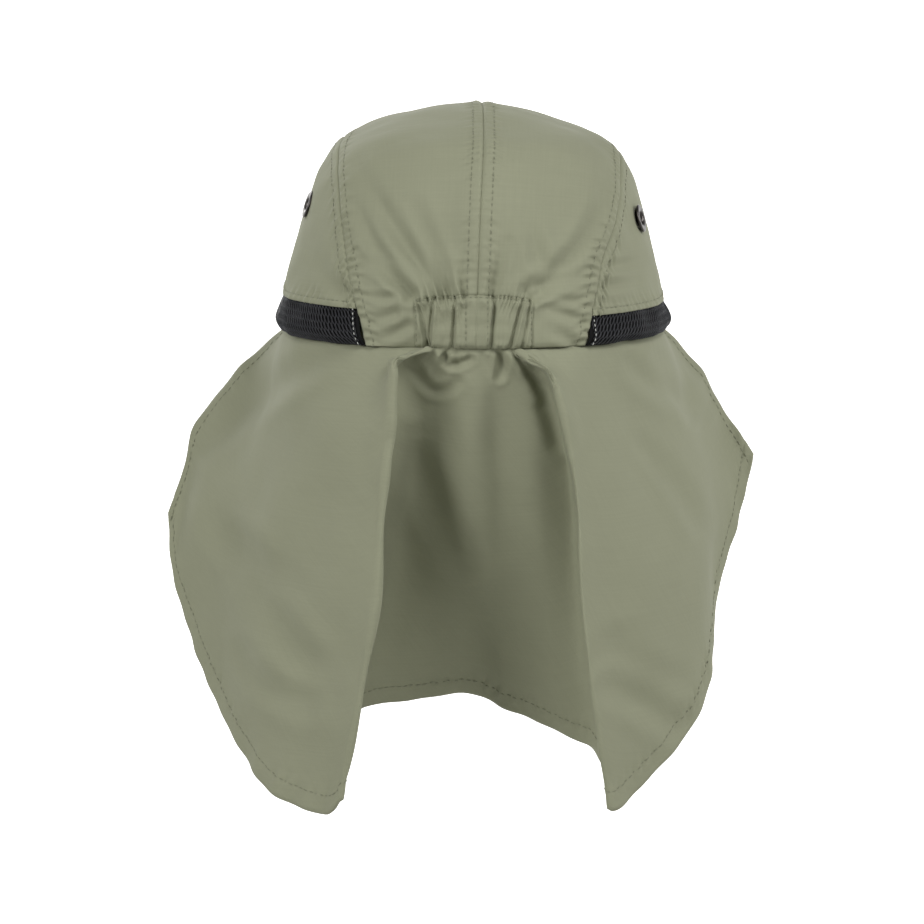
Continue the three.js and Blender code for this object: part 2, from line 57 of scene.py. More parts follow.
lens = bpy.data.cameras.new("view_from_behind")
lens.lens = VIEW_LENS
lens.sensor_width = 36.0
camera = add_object("view_from_behind", lens)
camera.location = (
    VIEW_AIM[0],
    VIEW_AIM[1] + VIEW_DISTANCE * math.cos(VIEW_PITCH),
    VIEW_AIM[2] + VIEW_DISTANCE * math.sin(VIEW_PITCH),
)
camera.rotation_euler = (math.pi / 2 - VIEW_PITCH, 0.0, math.pi)
bpy.context.scene.camera = camera

# Crown panels: four pieces of thin woven nylon, two strips over the top and a D-shaped piece
# on each side. They are sewn edge to edge, the allowance is turned under and held flat by a
# row of stitches on each side of the seam, and the elastic below gathers them at the back.
CROWN_HEIGHT = 101.5
CROWN_HALF_WIDTH = 87.0
CROWN_HALF_LENGTH = 97.0
SECTION_SQUARENESS = 2.2
BAND_HEIGHTS = {"left": 15.5, "right": 12.5}
CLOTH = 0.9
EDGE_ROUND = 0.35
FLAT_UNIT = 100
SEAM_GAP = 0.06
SEAM_ROW = 4.6
MIDDLE_LEAN = 0.02
MIDDLE_SHIFT = 0.4
HEM_ROW = 2.6
CASING_HEIGHT = 22.0
CASING_WIDTH = 50.0
CASING_SHIFT = 1.0
CASING_BOW = 2.0
EYELET_BACK = {"left": 23.0, "right": 33.0}
EYELET_HEIGHTS = {"left": 56.0, "right": 50.5}
EYELET_HOLE = 4.3

# How the stitches and the elastic shape the cloth: heights and pitches in millimetres.
ALLOWANCE_LIFT = 0.3
SEAM_GROOVE = 0.32
ROW_GROOVE = 0.28
LADDER_HEIGHT = 0.36
LADDER_PITCH = 3.6
PUCKER_HEIGHT = 0.38
PUCKER_PITCH = 5.2
CREASE_DEPTH = 1.5
GATHER_HEIGHT = 0.9
GATHER_PITCH = 2.2
GATHER_LEAN = 0.3
GATHER_SEED = 31
TUCKED_UNDER = 2.4

# Level sections of the crown from the rim to the top.
# Columns: height, left, right, back, front, as shares of the crown's three sizes.
SECTIONS = np.array([
    (0.000, 1.005, 0.985, 1.000, 1.000),
    (0.197, 0.985, 0.957, 0.990, 1.005),
    (0.394, 0.922, 0.906, 0.955, 0.990),
    (0.571, 0.862, 0.856, 0.900, 0.945),
    (0.719, 0.786, 0.786, 0.820, 0.860),
    (0.837, 0.672, 0.655, 0.690, 0.715),
    (0.916, 0.471, 0.425, 0.480, 0.490),
    (0.972, 0.241, 0.213, 0.240, 0.240),
    (1.000, 0.000, 0.000, 0.000, 0.000),
])

# The long seams on the flat disc that the crown is drawn from, from the back of the rim to
# its front. Columns: back, and how far the left and right seams lie from the middle.
SEAMS = np.array([
    (0.857, 0.515, 0.524),
    (0.720, 0.509, 0.512),
    (0.590, 0.512, 0.508),
    (0.480, 0.500, 0.524),
    (0.330, 0.462, 0.510),
    (0.150, 0.410, 0.462),
    (0.000, 0.375, 0.436),
    (-0.200, 0.365, 0.404),
    (-0.420, 0.400, 0.420),
    (-0.620, 0.480, 0.490),
    (-0.790, 0.613, 0.613),
])

# Creases in the back of the crown. Columns: across and up where each starts, passes and
# ends, as shares of the half width and the height, then depth and half width in millimetres.
CROWN_CREASES = [
    (0.58, 0.73, 0.40, 0.49, 0.18, 0.23, 1.7, 3.6),
    (0.60, 0.64, 0.50, 0.43, 0.31, 0.23, 1.5, 3.2),
    (0.29, 0.58, 0.20, 0.40, 0.13, 0.22, 1.6, 3.0),
    (0.58, 0.36, 0.47, 0.32, 0.33, 0.22, 1.1, 2.4),
    (0.14, 0.64, 0.13, 0.56, 0.12, 0.44, 0.5, 4.5),
    (0.08, 0.35, 0.07, 0.28, 0.06, 0.22, 1.4, 1.6),
    (0.56, 0.21, 0.48, 0.205, 0.40, 0.21, 0.8, 1.7),
    (0.82, 0.40, 0.75, 0.28, 0.66, 0.22, 0.9, 3.4),
    (-0.25, 0.54, -0.28, 0.46, -0.31, 0.36, 1.0, 3.2),
    (-0.15, 0.44, -0.11, 0.33, -0.08, 0.22, 1.4, 2.2),
    (-0.65, 0.69, -0.53, 0.44, -0.26, 0.23, 1.6, 3.4),
    (-0.57, 0.33, -0.48, 0.29, -0.34, 0.24, 1.0, 2.6),
    (-0.41, 0.22, -0.34, 0.22, -0.28, 0.20, 0.9, 1.7),
    (-0.84, 0.33, -0.76, 0.32, -0.67, 0.32, 0.7, 2.2),
    (-0.81, 0.24, -0.72, 0.24, -0.64, 0.24, 0.7, 2.2),
    (0.54, 0.10, 0.46, 0.12, 0.40, 0.14, 0.8, 2.0),
    (0.50, 0.01, 0.41, 0.05, 0.33, 0.09, 0.9, 2.2),
    (-0.36, 0.19, -0.44, 0.19, -0.51, 0.18, 0.6, 1.8),
    (-0.32, 0.17, -0.42, 0.14, -0.53, 0.10, 0.8, 2.0),
    (-0.36, 0.07, -0.43, 0.04, -0.50, 0.00, 0.9, 2.2),
]


def spline(rows, at):
    """A smooth curve through evenly spaced rows, read at places counted in rows."""
    at = np.asarray(at, float)
    i = np.clip(np.floor(at).astype(int), 0, len(rows) - 2)
    f = (at - i)[..., None]
    ends = np.concatenate([[2 * rows[0] - rows[1]], rows, [2 * rows[-1] - rows[-2]]])
    a, b, c, d = ends[i], ends[i + 1], ends[i + 2], ends[i + 3]
    bend = (2 * a - 5 * b + 4 * c - d) * f**2 + (3 * b - a - 3 * c + d) * f**3
    return 0.5 * (2 * b + (c - a) * f + bend)


def signed_power(value, power):
    return np.sign(value) * np.abs(value) ** power


def crown(across, back):
    """The crown's smooth outer surface over the flat disc, in millimetres."""
    radius = np.hypot(across, back)
    turn = np.arctan2(across, back)
    rows = spline(SECTIONS, (1 - radius) * (len(SECTIONS) - 1))
    up, left, right, rear, front = np.moveaxis(rows, -1, 0)
    power = 2 / SECTION_SQUARENESS
    x = CROWN_HALF_WIDTH * np.where(across > 0, left, right) * signed_power(np.sin(turn), power)
    y = CROWN_HALF_LENGTH * np.where(back > 0, rear, front) * signed_power(np.cos(turn), power)
    return np.stack([x, y, CROWN_HEIGHT * up], -1)


def on_crown(place):
    """The crown's surface at places on the disc, and its normals."""
    return crown(place[..., 0], place[..., 1]), crown_normal(place[..., 0], place[..., 1])


def unit(vectors):
    return vectors / np.maximum(np.linalg.norm(vectors, axis=-1, keepdims=True), 1e-12)


def crown_normal(across, back, step=0.01):
    along_x = crown(across + step, back) - crown(across - step, back)
    along_y = crown(across, back + step) - crown(across, back - step)
    return unit(np.cross(along_x, along_y))


def radius_at_height(height):
    """The disc radius at which the crown is a given height above the rim."""
    radii = np.linspace(0.0, 1.0, 2001)
    heights = CROWN_HEIGHT * spline(SECTIONS, (1 - radii) * (len(SECTIONS) - 1))[:, 0]
    return np.interp(-np.asarray(height, float), -heights, radii)


def seam_place(side, along, moved):
    """A side seam on the disc, from 0 at the back to 1 at the front, moved outward."""
    rows = np.stack([SEAMS[:, 1 if side > 0 else 2] * side, SEAMS[:, 0]], 1)
    for end in (0, -1):
        rows[end, 1] = np.sign(rows[end, 1]) * math.sqrt(1 - rows[end, 0] ** 2)
    place = spline(rows, np.asarray(along) * (len(SEAMS) - 1))
    place[..., 0] += side * moved / CROWN_HALF_WIDTH
    return place


def middle_place(back, moved):
    return np.stack([-MIDDLE_LEAN * (1 - back**2) + moved / CROWN_HALF_WIDTH, back], -1)


def swell(points, size, seed):
    """Soft unevenness of about one unit, with waves of about the given size."""
    rng = np.random.default_rng(seed)
    total = np.zeros(points.shape[:-1])
    waves = 9
    for _ in range(waves):
        heading = rng.normal(size=3)
        heading /= np.linalg.norm(heading)
        pitch = size * rng.uniform(0.75, 1.5)
        total += np.sin(points @ heading * (2 * math.pi / pitch) + rng.uniform(0, 2 * math.pi))
    return total / math.sqrt(waves / 2)


def ripple(along, pitch, seed):
    """Uneven ripples along a line, of about one unit."""
    rng = np.random.default_rng(seed)
    total = np.zeros(np.shape(along))
    waves = 5
    for _ in range(waves):
        wave = pitch * rng.uniform(0.7, 1.5)
        total = total + np.sin(along * (2 * math.pi / wave) + rng.uniform(0, 2 * math.pi))
    return total / math.sqrt(waves / 2)


def bell(distance, width):
    return np.exp(-((distance / width) ** 2))


def ease(low, high, value):
    share = np.clip((value - low) / (high - low), 0, 1)
    return share * share * (3 - 2 * share)


def sewn_relief(distance, along, pull, seed):
    """Height of the cloth beside a topstitched seam, by distance from it and along it."""
    allowance = ease(0.1, 1.2, distance) * ease(SEAM_ROW + 1.6, SEAM_ROW + 0.2, distance)
    groove = -SEAM_GROOVE * bell(distance, 0.5)
    row = -ROW_GROOVE * bell(distance - SEAM_ROW, 0.7)
    slant = along + 0.35 * distance
    ladder = ripple(along, LADDER_PITCH, seed + 70) * bell(distance - 0.55 * SEAM_ROW, 2.0)
    pucker = ripple(slant, PUCKER_PITCH, seed) * bell(distance - SEAM_ROW - 0.8, 2.8)
    gathered = LADDER_HEIGHT * ladder + PUCKER_HEIGHT * pucker
    return ALLOWANCE_LIFT * allowance + groove + row + pull * gathered


def crease_line(crease, size, count):
    """Points of a crease from its start past its bend to its end, and their shares of it."""
    share = np.linspace(0, 1, count)[:, None]
    start, bend, end = (np.array(crease[k:k + 2]) * size for k in (0, 2, 4))
    line = (1 - share) ** 2 * start + 2 * share * (1 - share) * (2 * bend - (start + end) / 2)
    return line + share**2 * end, share[:, 0]


def dent(distance, width, shoulder):
    """A crease across its line: a dip of one unit with a low shoulder on each side."""
    return shoulder * bell(distance - 1.9 * width, 0.8 * width) - bell(distance, width)


def crown_creases(points):
    """Creases and soft unevenness of the crown's cloth, by its place seen from behind."""
    total = np.zeros(points.shape[:-1])
    for crease in CROWN_CREASES:
        depth, width = crease[6:]
        line, share = crease_line(crease, (CROWN_HALF_WIDTH, CROWN_HEIGHT), 40)
        away = np.linalg.norm(points[..., None, [0, 2]] - line, axis=-1)
        fade = np.sin(np.clip(share[away.argmin(-1)] * 0.7 + 0.3, 0, 1) * math.pi / 2) ** 2
        total += CREASE_DEPTH * depth * fade * dent(away.min(-1), width, 0.38)
    uneven = 0.4 * swell(points, 42.0, 5) + 0.14 * swell(points, 15.0, 6)
    return total * ease(0.0, 25.0, points[..., 1]) + uneven


def running_length(grid, axis):
    """How far along the rows or columns of a grid each point lies."""
    steps = np.linalg.norm(np.diff(grid, axis=axis), axis=-1)
    zero = np.zeros_like(np.take(steps, [0], axis=axis))
    return np.concatenate([zero, np.cumsum(steps, axis=axis)], axis=axis)


def grid_normals(grid):
    """Normals of a grid of points, pointing to the side from which it runs anticlockwise."""
    return unit(np.cross(np.gradient(grid, axis=0), np.gradient(grid, axis=1)))


def mesh_piece(name, points, faces, material, flat=None, turn_out=False):
    """A smooth piece made of points in millimetres. flat holds their places on the flat cloth,
    in units of 100 mm, and turn_out makes each face of a closed piece look outward."""
    mesh = bpy.data.meshes.new(name)
    mesh.from_pydata((points * MM).tolist(), [], faces)
    if flat is not None:
        layer = mesh.uv_layers.new(name="cloth_flat")
        places = flat[np.concatenate(faces)]
        layer.data.foreach_set("uv", places.astype(np.float32).ravel())
    mesh.materials.append(material)
    mended = bmesh.new()
    mended.from_mesh(mesh)
    if turn_out:
        bmesh.ops.recalc_face_normals(mended, faces=mended.faces)
    else:
        bmesh.ops.remove_doubles(mended, verts=mended.verts, dist=1e-6)
        bmesh.ops.dissolve_degenerate(mended, dist=1e-7, edges=mended.edges)
    mended.to_mesh(mesh)
    mended.free()
    mesh.polygons.foreach_set("use_smooth", [True] * len(mesh.polygons))
    return add_object(name, mesh)


def cloth_mesh(name, face, normals, thickness, flat_across, flat_along, material, holes=None):
    """A closed sheet of cloth with rounded edges. Its outer face is a grid in millimetres, the
    flat values are the cloth's own flat places, and holes marks cells to open."""
    rows, columns = face.shape[:2]
    thickness = np.broadcast_to(thickness, (rows, columns))[..., None]
    back = face - normals * thickness
    ring = np.concatenate([
        np.arange(columns),
        np.arange(1, rows) * columns + columns - 1,
        (rows - 1) * columns + np.arange(columns - 2, -1, -1),
        np.arange(rows - 2, 0, -1) * columns,
    ])
    middle = (face + back) / 2
    centre = np.concatenate([middle[1:2, :], middle[1:-1, :], middle[-2:-1, :]])
    centre = np.concatenate([centre[:, 1:2], centre[:, 1:-1], centre[:, -2:-1]], 1)
    outward = unit(middle - centre)
    edge = (middle + outward * thickness * EDGE_ROUND).reshape(-1, 3)[ring]
    points = np.concatenate([face.reshape(-1, 3), back.reshape(-1, 3), edge])
    count = rows * columns
    corner = np.arange(count).reshape(rows, columns)
    a, b, c, d = corner[:-1, :-1], corner[1:, :-1], corner[1:, 1:], corner[:-1, 1:]
    kept = np.ones(a.shape, bool) if holes is None else ~holes
    outer = np.stack([a, b, c, d], -1)[kept]
    inner = outer[:, ::-1] + count
    walls = [np.zeros((0, 4), int)]
    for first, second, shift in ((a, b, (0, 1)), (b, c, (-1, 0)), (c, d, (0, -1)), (d, a, (1, 0))):
        open_edge = kept & ~np.roll(kept, shift, (0, 1))
        p, q = first[open_edge], second[open_edge]
        walls.append(np.stack([q, p, p + count, q + count], -1))
    here = np.arange(len(ring))
    after = (here + 1) % len(ring)
    rim = 2 * count
    first = np.stack([ring[here], ring[after], rim + after, rim + here], -1)
    second = np.stack([rim + here, rim + after, ring[after] + count, ring[here] + count], -1)
    faces = np.concatenate([outer, inner, first, second, *walls])
    flat = np.stack([flat_across, flat_along], -1).reshape(-1, 2) / FLAT_UNIT
    flat = np.concatenate([flat, flat, flat[ring]])
    return mesh_piece(name, points, faces.tolist(), material, flat)


def srgb(code):
    """A colour given as sRGB hex, in linear light."""
    parts = [int(code[k:k + 2], 16) / 255 for k in (1, 3, 5)]
    return tuple(p / 12.92 if p <= 0.04045 else ((p + 0.055) / 1.055) ** 2.4 for p in parts) + (1.0,)


def add_node(tree, kind, settings=(), **inputs):
    """Adds a node, sets its fields, and sets or links its inputs by name."""
    node = tree.nodes.new(kind)
    for field, value in dict(settings).items():
        setattr(node, field, value)
    for key, value in inputs.items():
        socket = node.inputs[int(key[1:])] if key[1:].isdigit() else node.inputs[key.replace("_", " ")]
        if isinstance(value, bpy.types.NodeSocket):
            tree.links.new(value, socket)
        else:
            socket.default_value = value
    return node


def maths(tree, operation, *values):
    inputs = {f"i{k}": value for k, value in enumerate(values)}
    return add_node(tree, "ShaderNodeMath", {"operation": operation}, **inputs).outputs[0]


def new_finish(name):
    """An empty material, its tree and the place on the piece from which its patterns start."""
    material = bpy.data.materials.new(name)
    material.use_nodes = True
    tree = material.node_tree
    tree.nodes.clear()
    return material, tree, add_node(tree, "ShaderNodeTexCoord").outputs["Object"]


def blend(tree, factor, first, second):
    """A colour between two, by a factor."""
    node = add_node(tree, "ShaderNodeMix", {"data_type": "RGBA"}, Factor=factor)
    node.inputs[6].default_value = srgb(first)
    node.inputs[7].default_value = srgb(second)
    return node.outputs[2]


def bumped(tree, height, strength, distance, **inputs):
    return add_node(
        tree, "ShaderNodeBump", Strength=strength, Distance=distance * MM, Height=height, **inputs,
    ).outputs[0]


def surfaced(tree, **inputs):
    shader = add_node(tree, "ShaderNodeBsdfPrincipled", **inputs)
    add_node(tree, "ShaderNodeOutputMaterial", Surface=shader.outputs[0])


def woven_nylon(name, face_colour, slub_colour):
    """Plain-woven nylon with a matt, slightly brushed face. It gives a dull, even colour with
    faint thread-wide streaks along warp and weft, a soft sheen at grazing angles and no gloss.
    The threads are 0.25 mm apart and are drawn 0.9 mm apart, the finest that shows here."""
    thread = 0.9
    streak = 26.0
    cloud = 38.0
    crumple = 5.5
    crinkle = (8.0, 2.8)
    material, tree, place = new_finish(name)
    flat = add_node(tree, "ShaderNodeUVMap", {"uv_map": "cloth_flat"}).outputs["UV"]

    def streaks(across, along):
        size = (FLAT_UNIT / across, FLAT_UNIT / along, 1.0)
        there = add_node(tree, "ShaderNodeMapping", Vector=flat, Scale=size).outputs[0]
        return add_node(tree, "ShaderNodeTexNoise", Vector=there, Scale=1.0, Detail=2.0).outputs["Fac"]

    def noise(pitch):
        scale = 1 / (pitch * MM)
        return add_node(tree, "ShaderNodeTexNoise", Vector=place, Scale=scale, Detail=3.0).outputs["Fac"]

    threads = maths(tree, "ADD", streaks(thread, streak), streaks(streak, thread))
    worn = maths(tree, "MULTIPLY_ADD", noise(cloud), 0.8, threads)
    worn = add_node(tree, "ShaderNodeMapRange", Value=worn, From_Min=0.9, From_Max=1.9).outputs[0]
    wrinkle = maths(tree, "MULTIPLY_ADD", streaks(*crinkle), 0.6, noise(crumple))
    bumps = bumped(tree, wrinkle, 0.5, 0.25, Normal=bumped(tree, threads, 0.3, 0.06))
    rough = add_node(
        tree, "ShaderNodeMapRange", Value=threads, From_Min=0.6, From_Max=1.4, To_Min=0.74, To_Max=0.9,
    ).outputs[0]
    surfaced(
        tree, Base_Color=blend(tree, worn, slub_colour, face_colour), Roughness=rough, Normal=bumps,
        IOR=1.53, Sheen_Weight=0.06, Sheen_Roughness=0.5, Specular_IOR_Level=0.3,
    )
    return material


nylon = woven_nylon("woven_nylon_matt", "#8d8f78", "#868871")

seam_knots = np.linspace(0, 1, 401)
middle_knots = np.linspace(1, -1, 401)
middle_lengths = running_length(crown(*middle_place(middle_knots, 0).T), 0)


def seam_length(side, along):
    lengths = running_length(crown(*seam_place(side, seam_knots, 0).T), 0)
    return np.interp(along, seam_knots, lengths)


def side_span(side, radius):
    """Where a side seam leaves a circle of the disc at the back and meets it at the front."""
    distances = np.hypot(*seam_place(side, seam_knots, 0).T)
    half = len(seam_knots) // 2
    start = np.interp(-radius, -distances[:half], seam_knots[:half])
    return start, np.interp(radius, distances[half:], seam_knots[half:])


def casing_top(x):
    """Height of the casing's top edge, which the pull of the elastic bows upward."""
    return CASING_HEIGHT - CASING_BOW * ((x - CASING_SHIFT) / (CASING_WIDTH / 2)) ** 2


def crown_relief(points):
    """Folds, unevenness and the gathers over the casing, away from the seams."""
    from_middle = np.abs(points[..., 0] - CASING_SHIFT) - CASING_WIDTH / 2
    above = points[..., 2] - casing_top(points[..., 0])
    over_casing = ease(1.0, -4.0, from_middle) * ease(60.0, 85.0, points[..., 1])
    leaning = points[..., 0] - GATHER_LEAN * np.sign(points[..., 0]) * above
    gathers = ripple(leaning, GATHER_PITCH, GATHER_SEED) * np.exp(-np.maximum(above, 0) / 4.4)
    gathers *= ease(4.6, 6.4, np.abs(points[..., 0] + MIDDLE_SHIFT))
    tucked = ease(0.8, -0.8, above) * ease(0.6, -0.8, from_middle) * ease(60.0, 80.0, points[..., 1])
    return crown_creases(points) + GATHER_HEIGHT * gathers * over_casing - TUCKED_UNDER * tucked


def arc_place(start, end, share, radius):
    turn = np.arctan2(start[0], start[1]) * (1 - share) + np.arctan2(end[0], end[1]) * share
    return np.stack([radius * np.sin(turn), radius * np.cos(turn)], -1)


def seam_pull(side, points, strong):
    """How hard a seam's stitches gather the cloth: most low at the back, least over the top."""
    behind = ease(0.0, 40.0, points[..., 1])
    return 0.25 + strong * behind * ease(78.0, 22.0, points[..., 2])


def eyelet_place(side, word):
    """The middle of an eyelet on the crown's smooth surface, and its axis outward."""
    radius = radius_at_height(EYELET_HEIGHTS[word])
    rear = spline(SECTIONS, (1 - radius) * (len(SECTIONS) - 1))[3]
    turned = side * math.acos((EYELET_BACK[word] / (CROWN_HALF_LENGTH * rear)) ** (SECTION_SQUARENESS / 2))
    place = (radius * math.sin(turned), radius * math.cos(turned))
    return crown(*place), crown_normal(*place)


crown_faces = {}
for side, word in SIDES:
    node = f"crown_{word}_centre"
    along = np.linspace(0, 1, 301)[:, None]
    share = np.linspace(0, 1, 101)[None, :]
    outer = seam_place(side, along[:, 0], -SEAM_GAP / 2)
    ends = seam_place(side, np.array([0.0, 1.0]), 0)
    scale = np.where(outer[:, 1] > 0, abs(ends[0, 1]), abs(ends[1, 1]))
    inner = middle_place(outer[:, 1] / scale, side * SEAM_GAP / 2)
    place = inner[:, None] * (1 - share[..., None]) + outer[:, None] * share[..., None]
    for end, weight in ((0, (1 - along) ** 2), (1, along**2)):
        first, last = inner[-end], outer[-end]
        bowed = arc_place(first, last, share[0], 1.0)
        straight = first * (1 - share[0][:, None]) + last * share[0][:, None]
        place += weight[..., None] * (bowed - straight)
    points, outward = on_crown(place)
    to_middle = running_length(points, 1)
    to_seam = to_middle[:, -1:] - to_middle
    middle_run = np.interp(-place[:, :1, 1], -middle_knots, middle_lengths)
    relief = crown_relief(points)
    relief += sewn_relief(to_middle, middle_run, 0.45, 11)
    relief += sewn_relief(to_seam, seam_length(side, along), seam_pull(side, points, 0.95), 12 + side)
    relief -= 0.7 * bell(points[..., 2], 1.2)
    face = points + outward * relief[..., None]
    across = side * to_middle
    length_along = running_length(points, 0)
    crown_faces[node] = (face, outward, to_middle, to_seam)
    step = 1 if side > 0 else -1
    piece = cloth_mesh(
        f"{node}_cloth", face[:, ::step], outward[:, ::step], CLOTH,
        across[:, ::step], length_along[:, ::step], nylon,
    )
    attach(piece, "root")
    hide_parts(node)

for side, word in SIDES:
    node = f"crown_{word}_side"
    band_height = BAND_HEIGHTS[word]
    radius = radius_at_height(band_height)
    start, end = side_span(side, radius)
    sweep = (1 - np.cos(np.linspace(0, math.pi, 221))) / 2
    inner = seam_place(side, start + (end - start) * sweep, SEAM_GAP / 2)
    outer = arc_place(inner[0], inner[-1], sweep, radius)
    share = np.linspace(0, 1, 71)[None, :, None]
    place = inner[:, None] * (1 - share) + outer[:, None] * share
    points, outward = on_crown(place)
    to_seam = running_length(points, 1)
    to_edge = points[..., 2] - band_height
    seam_run = seam_length(side, start + (end - start) * sweep[:, None])
    edge_run = running_length(points, 0)[:, -1:]
    relief = crown_relief(points)
    relief += sewn_relief(to_seam, seam_run, seam_pull(side, points, 0.8), 12 + side)
    relief += 0.75 * ease(5.0, 1.6, to_edge) - 0.3 * bell(to_edge - HEM_ROW, 0.6)
    relief += 0.2 * ripple(edge_run, 5.5, 17 + side) * bell(to_edge - HEM_ROW, 4.0)
    face = points + outward * relief[..., None]
    middle, axis = eyelet_place(side, word)
    off = face - middle
    level_off = off - (off @ axis)[..., None] * axis
    far = np.linalg.norm(level_off, axis=-1)
    centres = (far[:-1, :-1] + far[1:, :-1] + far[1:, 1:] + far[:-1, 1:]) / 4
    holes = (centres < EYELET_HOLE) & (np.abs((off @ axis)[:-1, :-1]) < 20)
    rim = np.zeros(far.shape, bool)
    for rows_part in (slice(None, -1), slice(1, None)):
        for columns_part in (slice(None, -1), slice(1, None)):
            rim[rows_part, columns_part] |= holes
    rounded = face + level_off * (EYELET_HOLE / np.maximum(far, 0.1) - 1)[..., None]
    face = np.where(rim[..., None], rounded, face)
    crown_faces[node] = (face, outward, to_seam, to_edge)
    step = 1 if side > 0 else -1
    piece = cloth_mesh(
        f"{node}_cloth", face[:, ::step], outward[:, ::step], CLOTH,
        (side * points[..., 1])[:, ::step], points[:, ::step, 2], nylon, holes[:, ::step],
    )
    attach(piece, "root")
    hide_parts(node)

# Topstitching: olive polyester thread, a lockstitch of 3 mm. Each stitch is a short bead of
# thread that sinks a little into the cloth. The rows hold the allowances of the crown's seams
# flat and hem the side panels. The olive thread is coloured darker than the cloth it matches:
# that darkness is painted shade of its needle holes and groove.
def polyester_thread(name, dark_colour, light_colour):
    """Twisted polyester sewing thread: satin, with its twist as slanting ridges."""
    material, tree, place = new_finish(name)
    twist_pitch = 1.6 * MM
    twist = add_node(
        tree, "ShaderNodeTexWave", {"bands_direction": "DIAGONAL"}, Vector=place, Scale=1 / twist_pitch,
    ).outputs["Fac"]
    surfaced(
        tree, Base_Color=blend(tree, twist, dark_colour, light_colour), Roughness=0.62,
        Normal=bumped(tree, twist, 0.4, 0.08), IOR=1.55,
    )
    return material


# Both olive colours are darker than the cloth's own olive: painted shade of the needle holes and the groove
# each stitch sits in.
thread = polyester_thread("polyester_thread_olive", "#6f715b", "#7f816b")
grey_thread = polyester_thread("polyester_thread_grey", "#a9aaa6", "#c4c5c0")


def tree_input(tree, name, kind, value=None):
    socket = tree.interface.new_socket(name=name, in_out="INPUT", socket_type=kind)
    if value is not None:
        socket.default_value = value
    return socket.identifier


def close_tree(tree, geometry, finish):
    """Smooths what a tree has made, gives it its finish and sends it out."""
    smooth = add_node(tree, "GeometryNodeSetShadeSmooth", Geometry=geometry).outputs[0]
    coated = add_node(tree, "GeometryNodeSetMaterial", Geometry=smooth, Material=finish).outputs[0]
    add_node(tree, "NodeGroupOutput", i0=coated)


sewing = bpy.data.node_groups.new("sewn_rows", "GeometryNodeTree")
sewing_inputs = {
    "rows": tree_input(sewing, "Rows", "NodeSocketGeometry"),
    "pitch": tree_input(sewing, "Pitch", "NodeSocketFloat", 3.0 * MM),
    "stitch": tree_input(sewing, "Stitch", "NodeSocketFloat", 2.3 * MM),
    "thread": tree_input(sewing, "Thread", "NodeSocketFloat", 0.45 * MM),
    "uneven": tree_input(sewing, "Uneven", "NodeSocketFloat", 0.15),
    "seed": tree_input(sewing, "Seed", "NodeSocketInt", 3),
    "finish": tree_input(sewing, "Finish", "NodeSocketMaterial"),
}
sewing.interface.new_socket(name="Stitches", in_out="OUTPUT", socket_type="NodeSocketGeometry")
given = sewing.nodes.new("NodeGroupInput").outputs
path = add_node(sewing, "GeometryNodeMeshToCurve", Mesh=given["Rows"]).outputs[0]
path = add_node(
    sewing, "GeometryNodeResampleCurve", {"mode": "LENGTH"}, Curve=path, Length=given["Pitch"],
).outputs[0]
ahead = add_node(sewing, "GeometryNodeInputTangent").outputs[0]
outward = add_node(
    sewing, "GeometryNodeInputNamedAttribute", {"data_type": "FLOAT_VECTOR"}, Name="outward",
).outputs["Attribute"]
turn = add_node(sewing, "FunctionNodeAlignRotationToVector", {"axis": "X"}, Vector=ahead).outputs[0]
turn = add_node(
    sewing, "FunctionNodeAlignRotationToVector", {"axis": "Z", "pivot_axis": "X"},
    Rotation=turn, Vector=outward,
).outputs[0]
chance = add_node(
    sewing, "FunctionNodeRandomValue", {"data_type": "FLOAT"}, i2=-1.0, i3=1.0, Seed=given["Seed"],
).outputs[1]
spread = maths(sewing, "MULTIPLY_ADD", chance, given["Uneven"], 1.0)
long = maths(sewing, "MULTIPLY", given["Stitch"], spread)
flat = maths(sewing, "MULTIPLY", given["Thread"], 0.7)
size = add_node(sewing, "ShaderNodeCombineXYZ", X=long, Y=given["Thread"], Z=flat).outputs[0]
bead = add_node(sewing, "GeometryNodeMeshUVSphere", Segments=6, Rings=4, Radius=0.5).outputs[0]
made = add_node(
    sewing, "GeometryNodeInstanceOnPoints", Points=path, Instance=bead, Rotation=turn, Scale=size,
).outputs[0]
made = add_node(sewing, "GeometryNodeRealizeInstances", Geometry=made).outputs[0]
close_tree(sewing, made, given["Finish"])


def grown(name, carrier, tree, settings):
    """Runs a tree on a carrier mesh and keeps the result as a plain piece on the cap's body."""
    for material in settings.values():
        if isinstance(material, bpy.types.Material):
            carrier.materials.append(material)
    source = add_object(name, carrier)
    growing = source.modifiers.new("grow", "NODES")
    growing.node_group = tree
    for identifier, value in settings.items():
        growing[identifier] = value
    graph = bpy.context.evaluated_depsgraph_get()
    result = bpy.data.meshes.new_from_object(source.evaluated_get(graph))
    source.modifiers.remove(growing)
    source.data = result
    bpy.data.meshes.remove(carrier)
    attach(source, "root")
    return source


def carrier_mesh(name, points, edges, vectors):
    mesh = bpy.data.meshes.new(name)
    mesh.from_pydata((points * MM).tolist(), edges, [])
    for label, values in vectors.items():
        layer = mesh.attributes.new(label, "FLOAT_VECTOR", "POINT")
        layer.data.foreach_set("vector", values.astype(np.float32).ravel())
    return mesh


def sew(name, rows, finish=None, pitch=3.0, stitch=2.3, width=0.45, seed=3):
    """Stitches along rows, each a pair of points and outward normals in millimetres."""
    points = np.concatenate([row[0] + row[1] * 0.12 for row in rows])
    normals = np.concatenate([row[1] for row in rows])
    edges = []
    start = 0
    for row in rows:
        edges += [(start + k, start + k + 1) for k in range(len(row[0]) - 1)]
        start += len(row[0])
    settings = {"pitch": pitch * MM, "stitch": stitch * MM, "thread": width * MM, "seed": seed}
    settings["finish"] = finish or thread
    settings = {sewing_inputs[key]: value for key, value in settings.items()}
    return grown(name, carrier_mesh(name, points, edges, {"outward": normals}), sewing, settings)


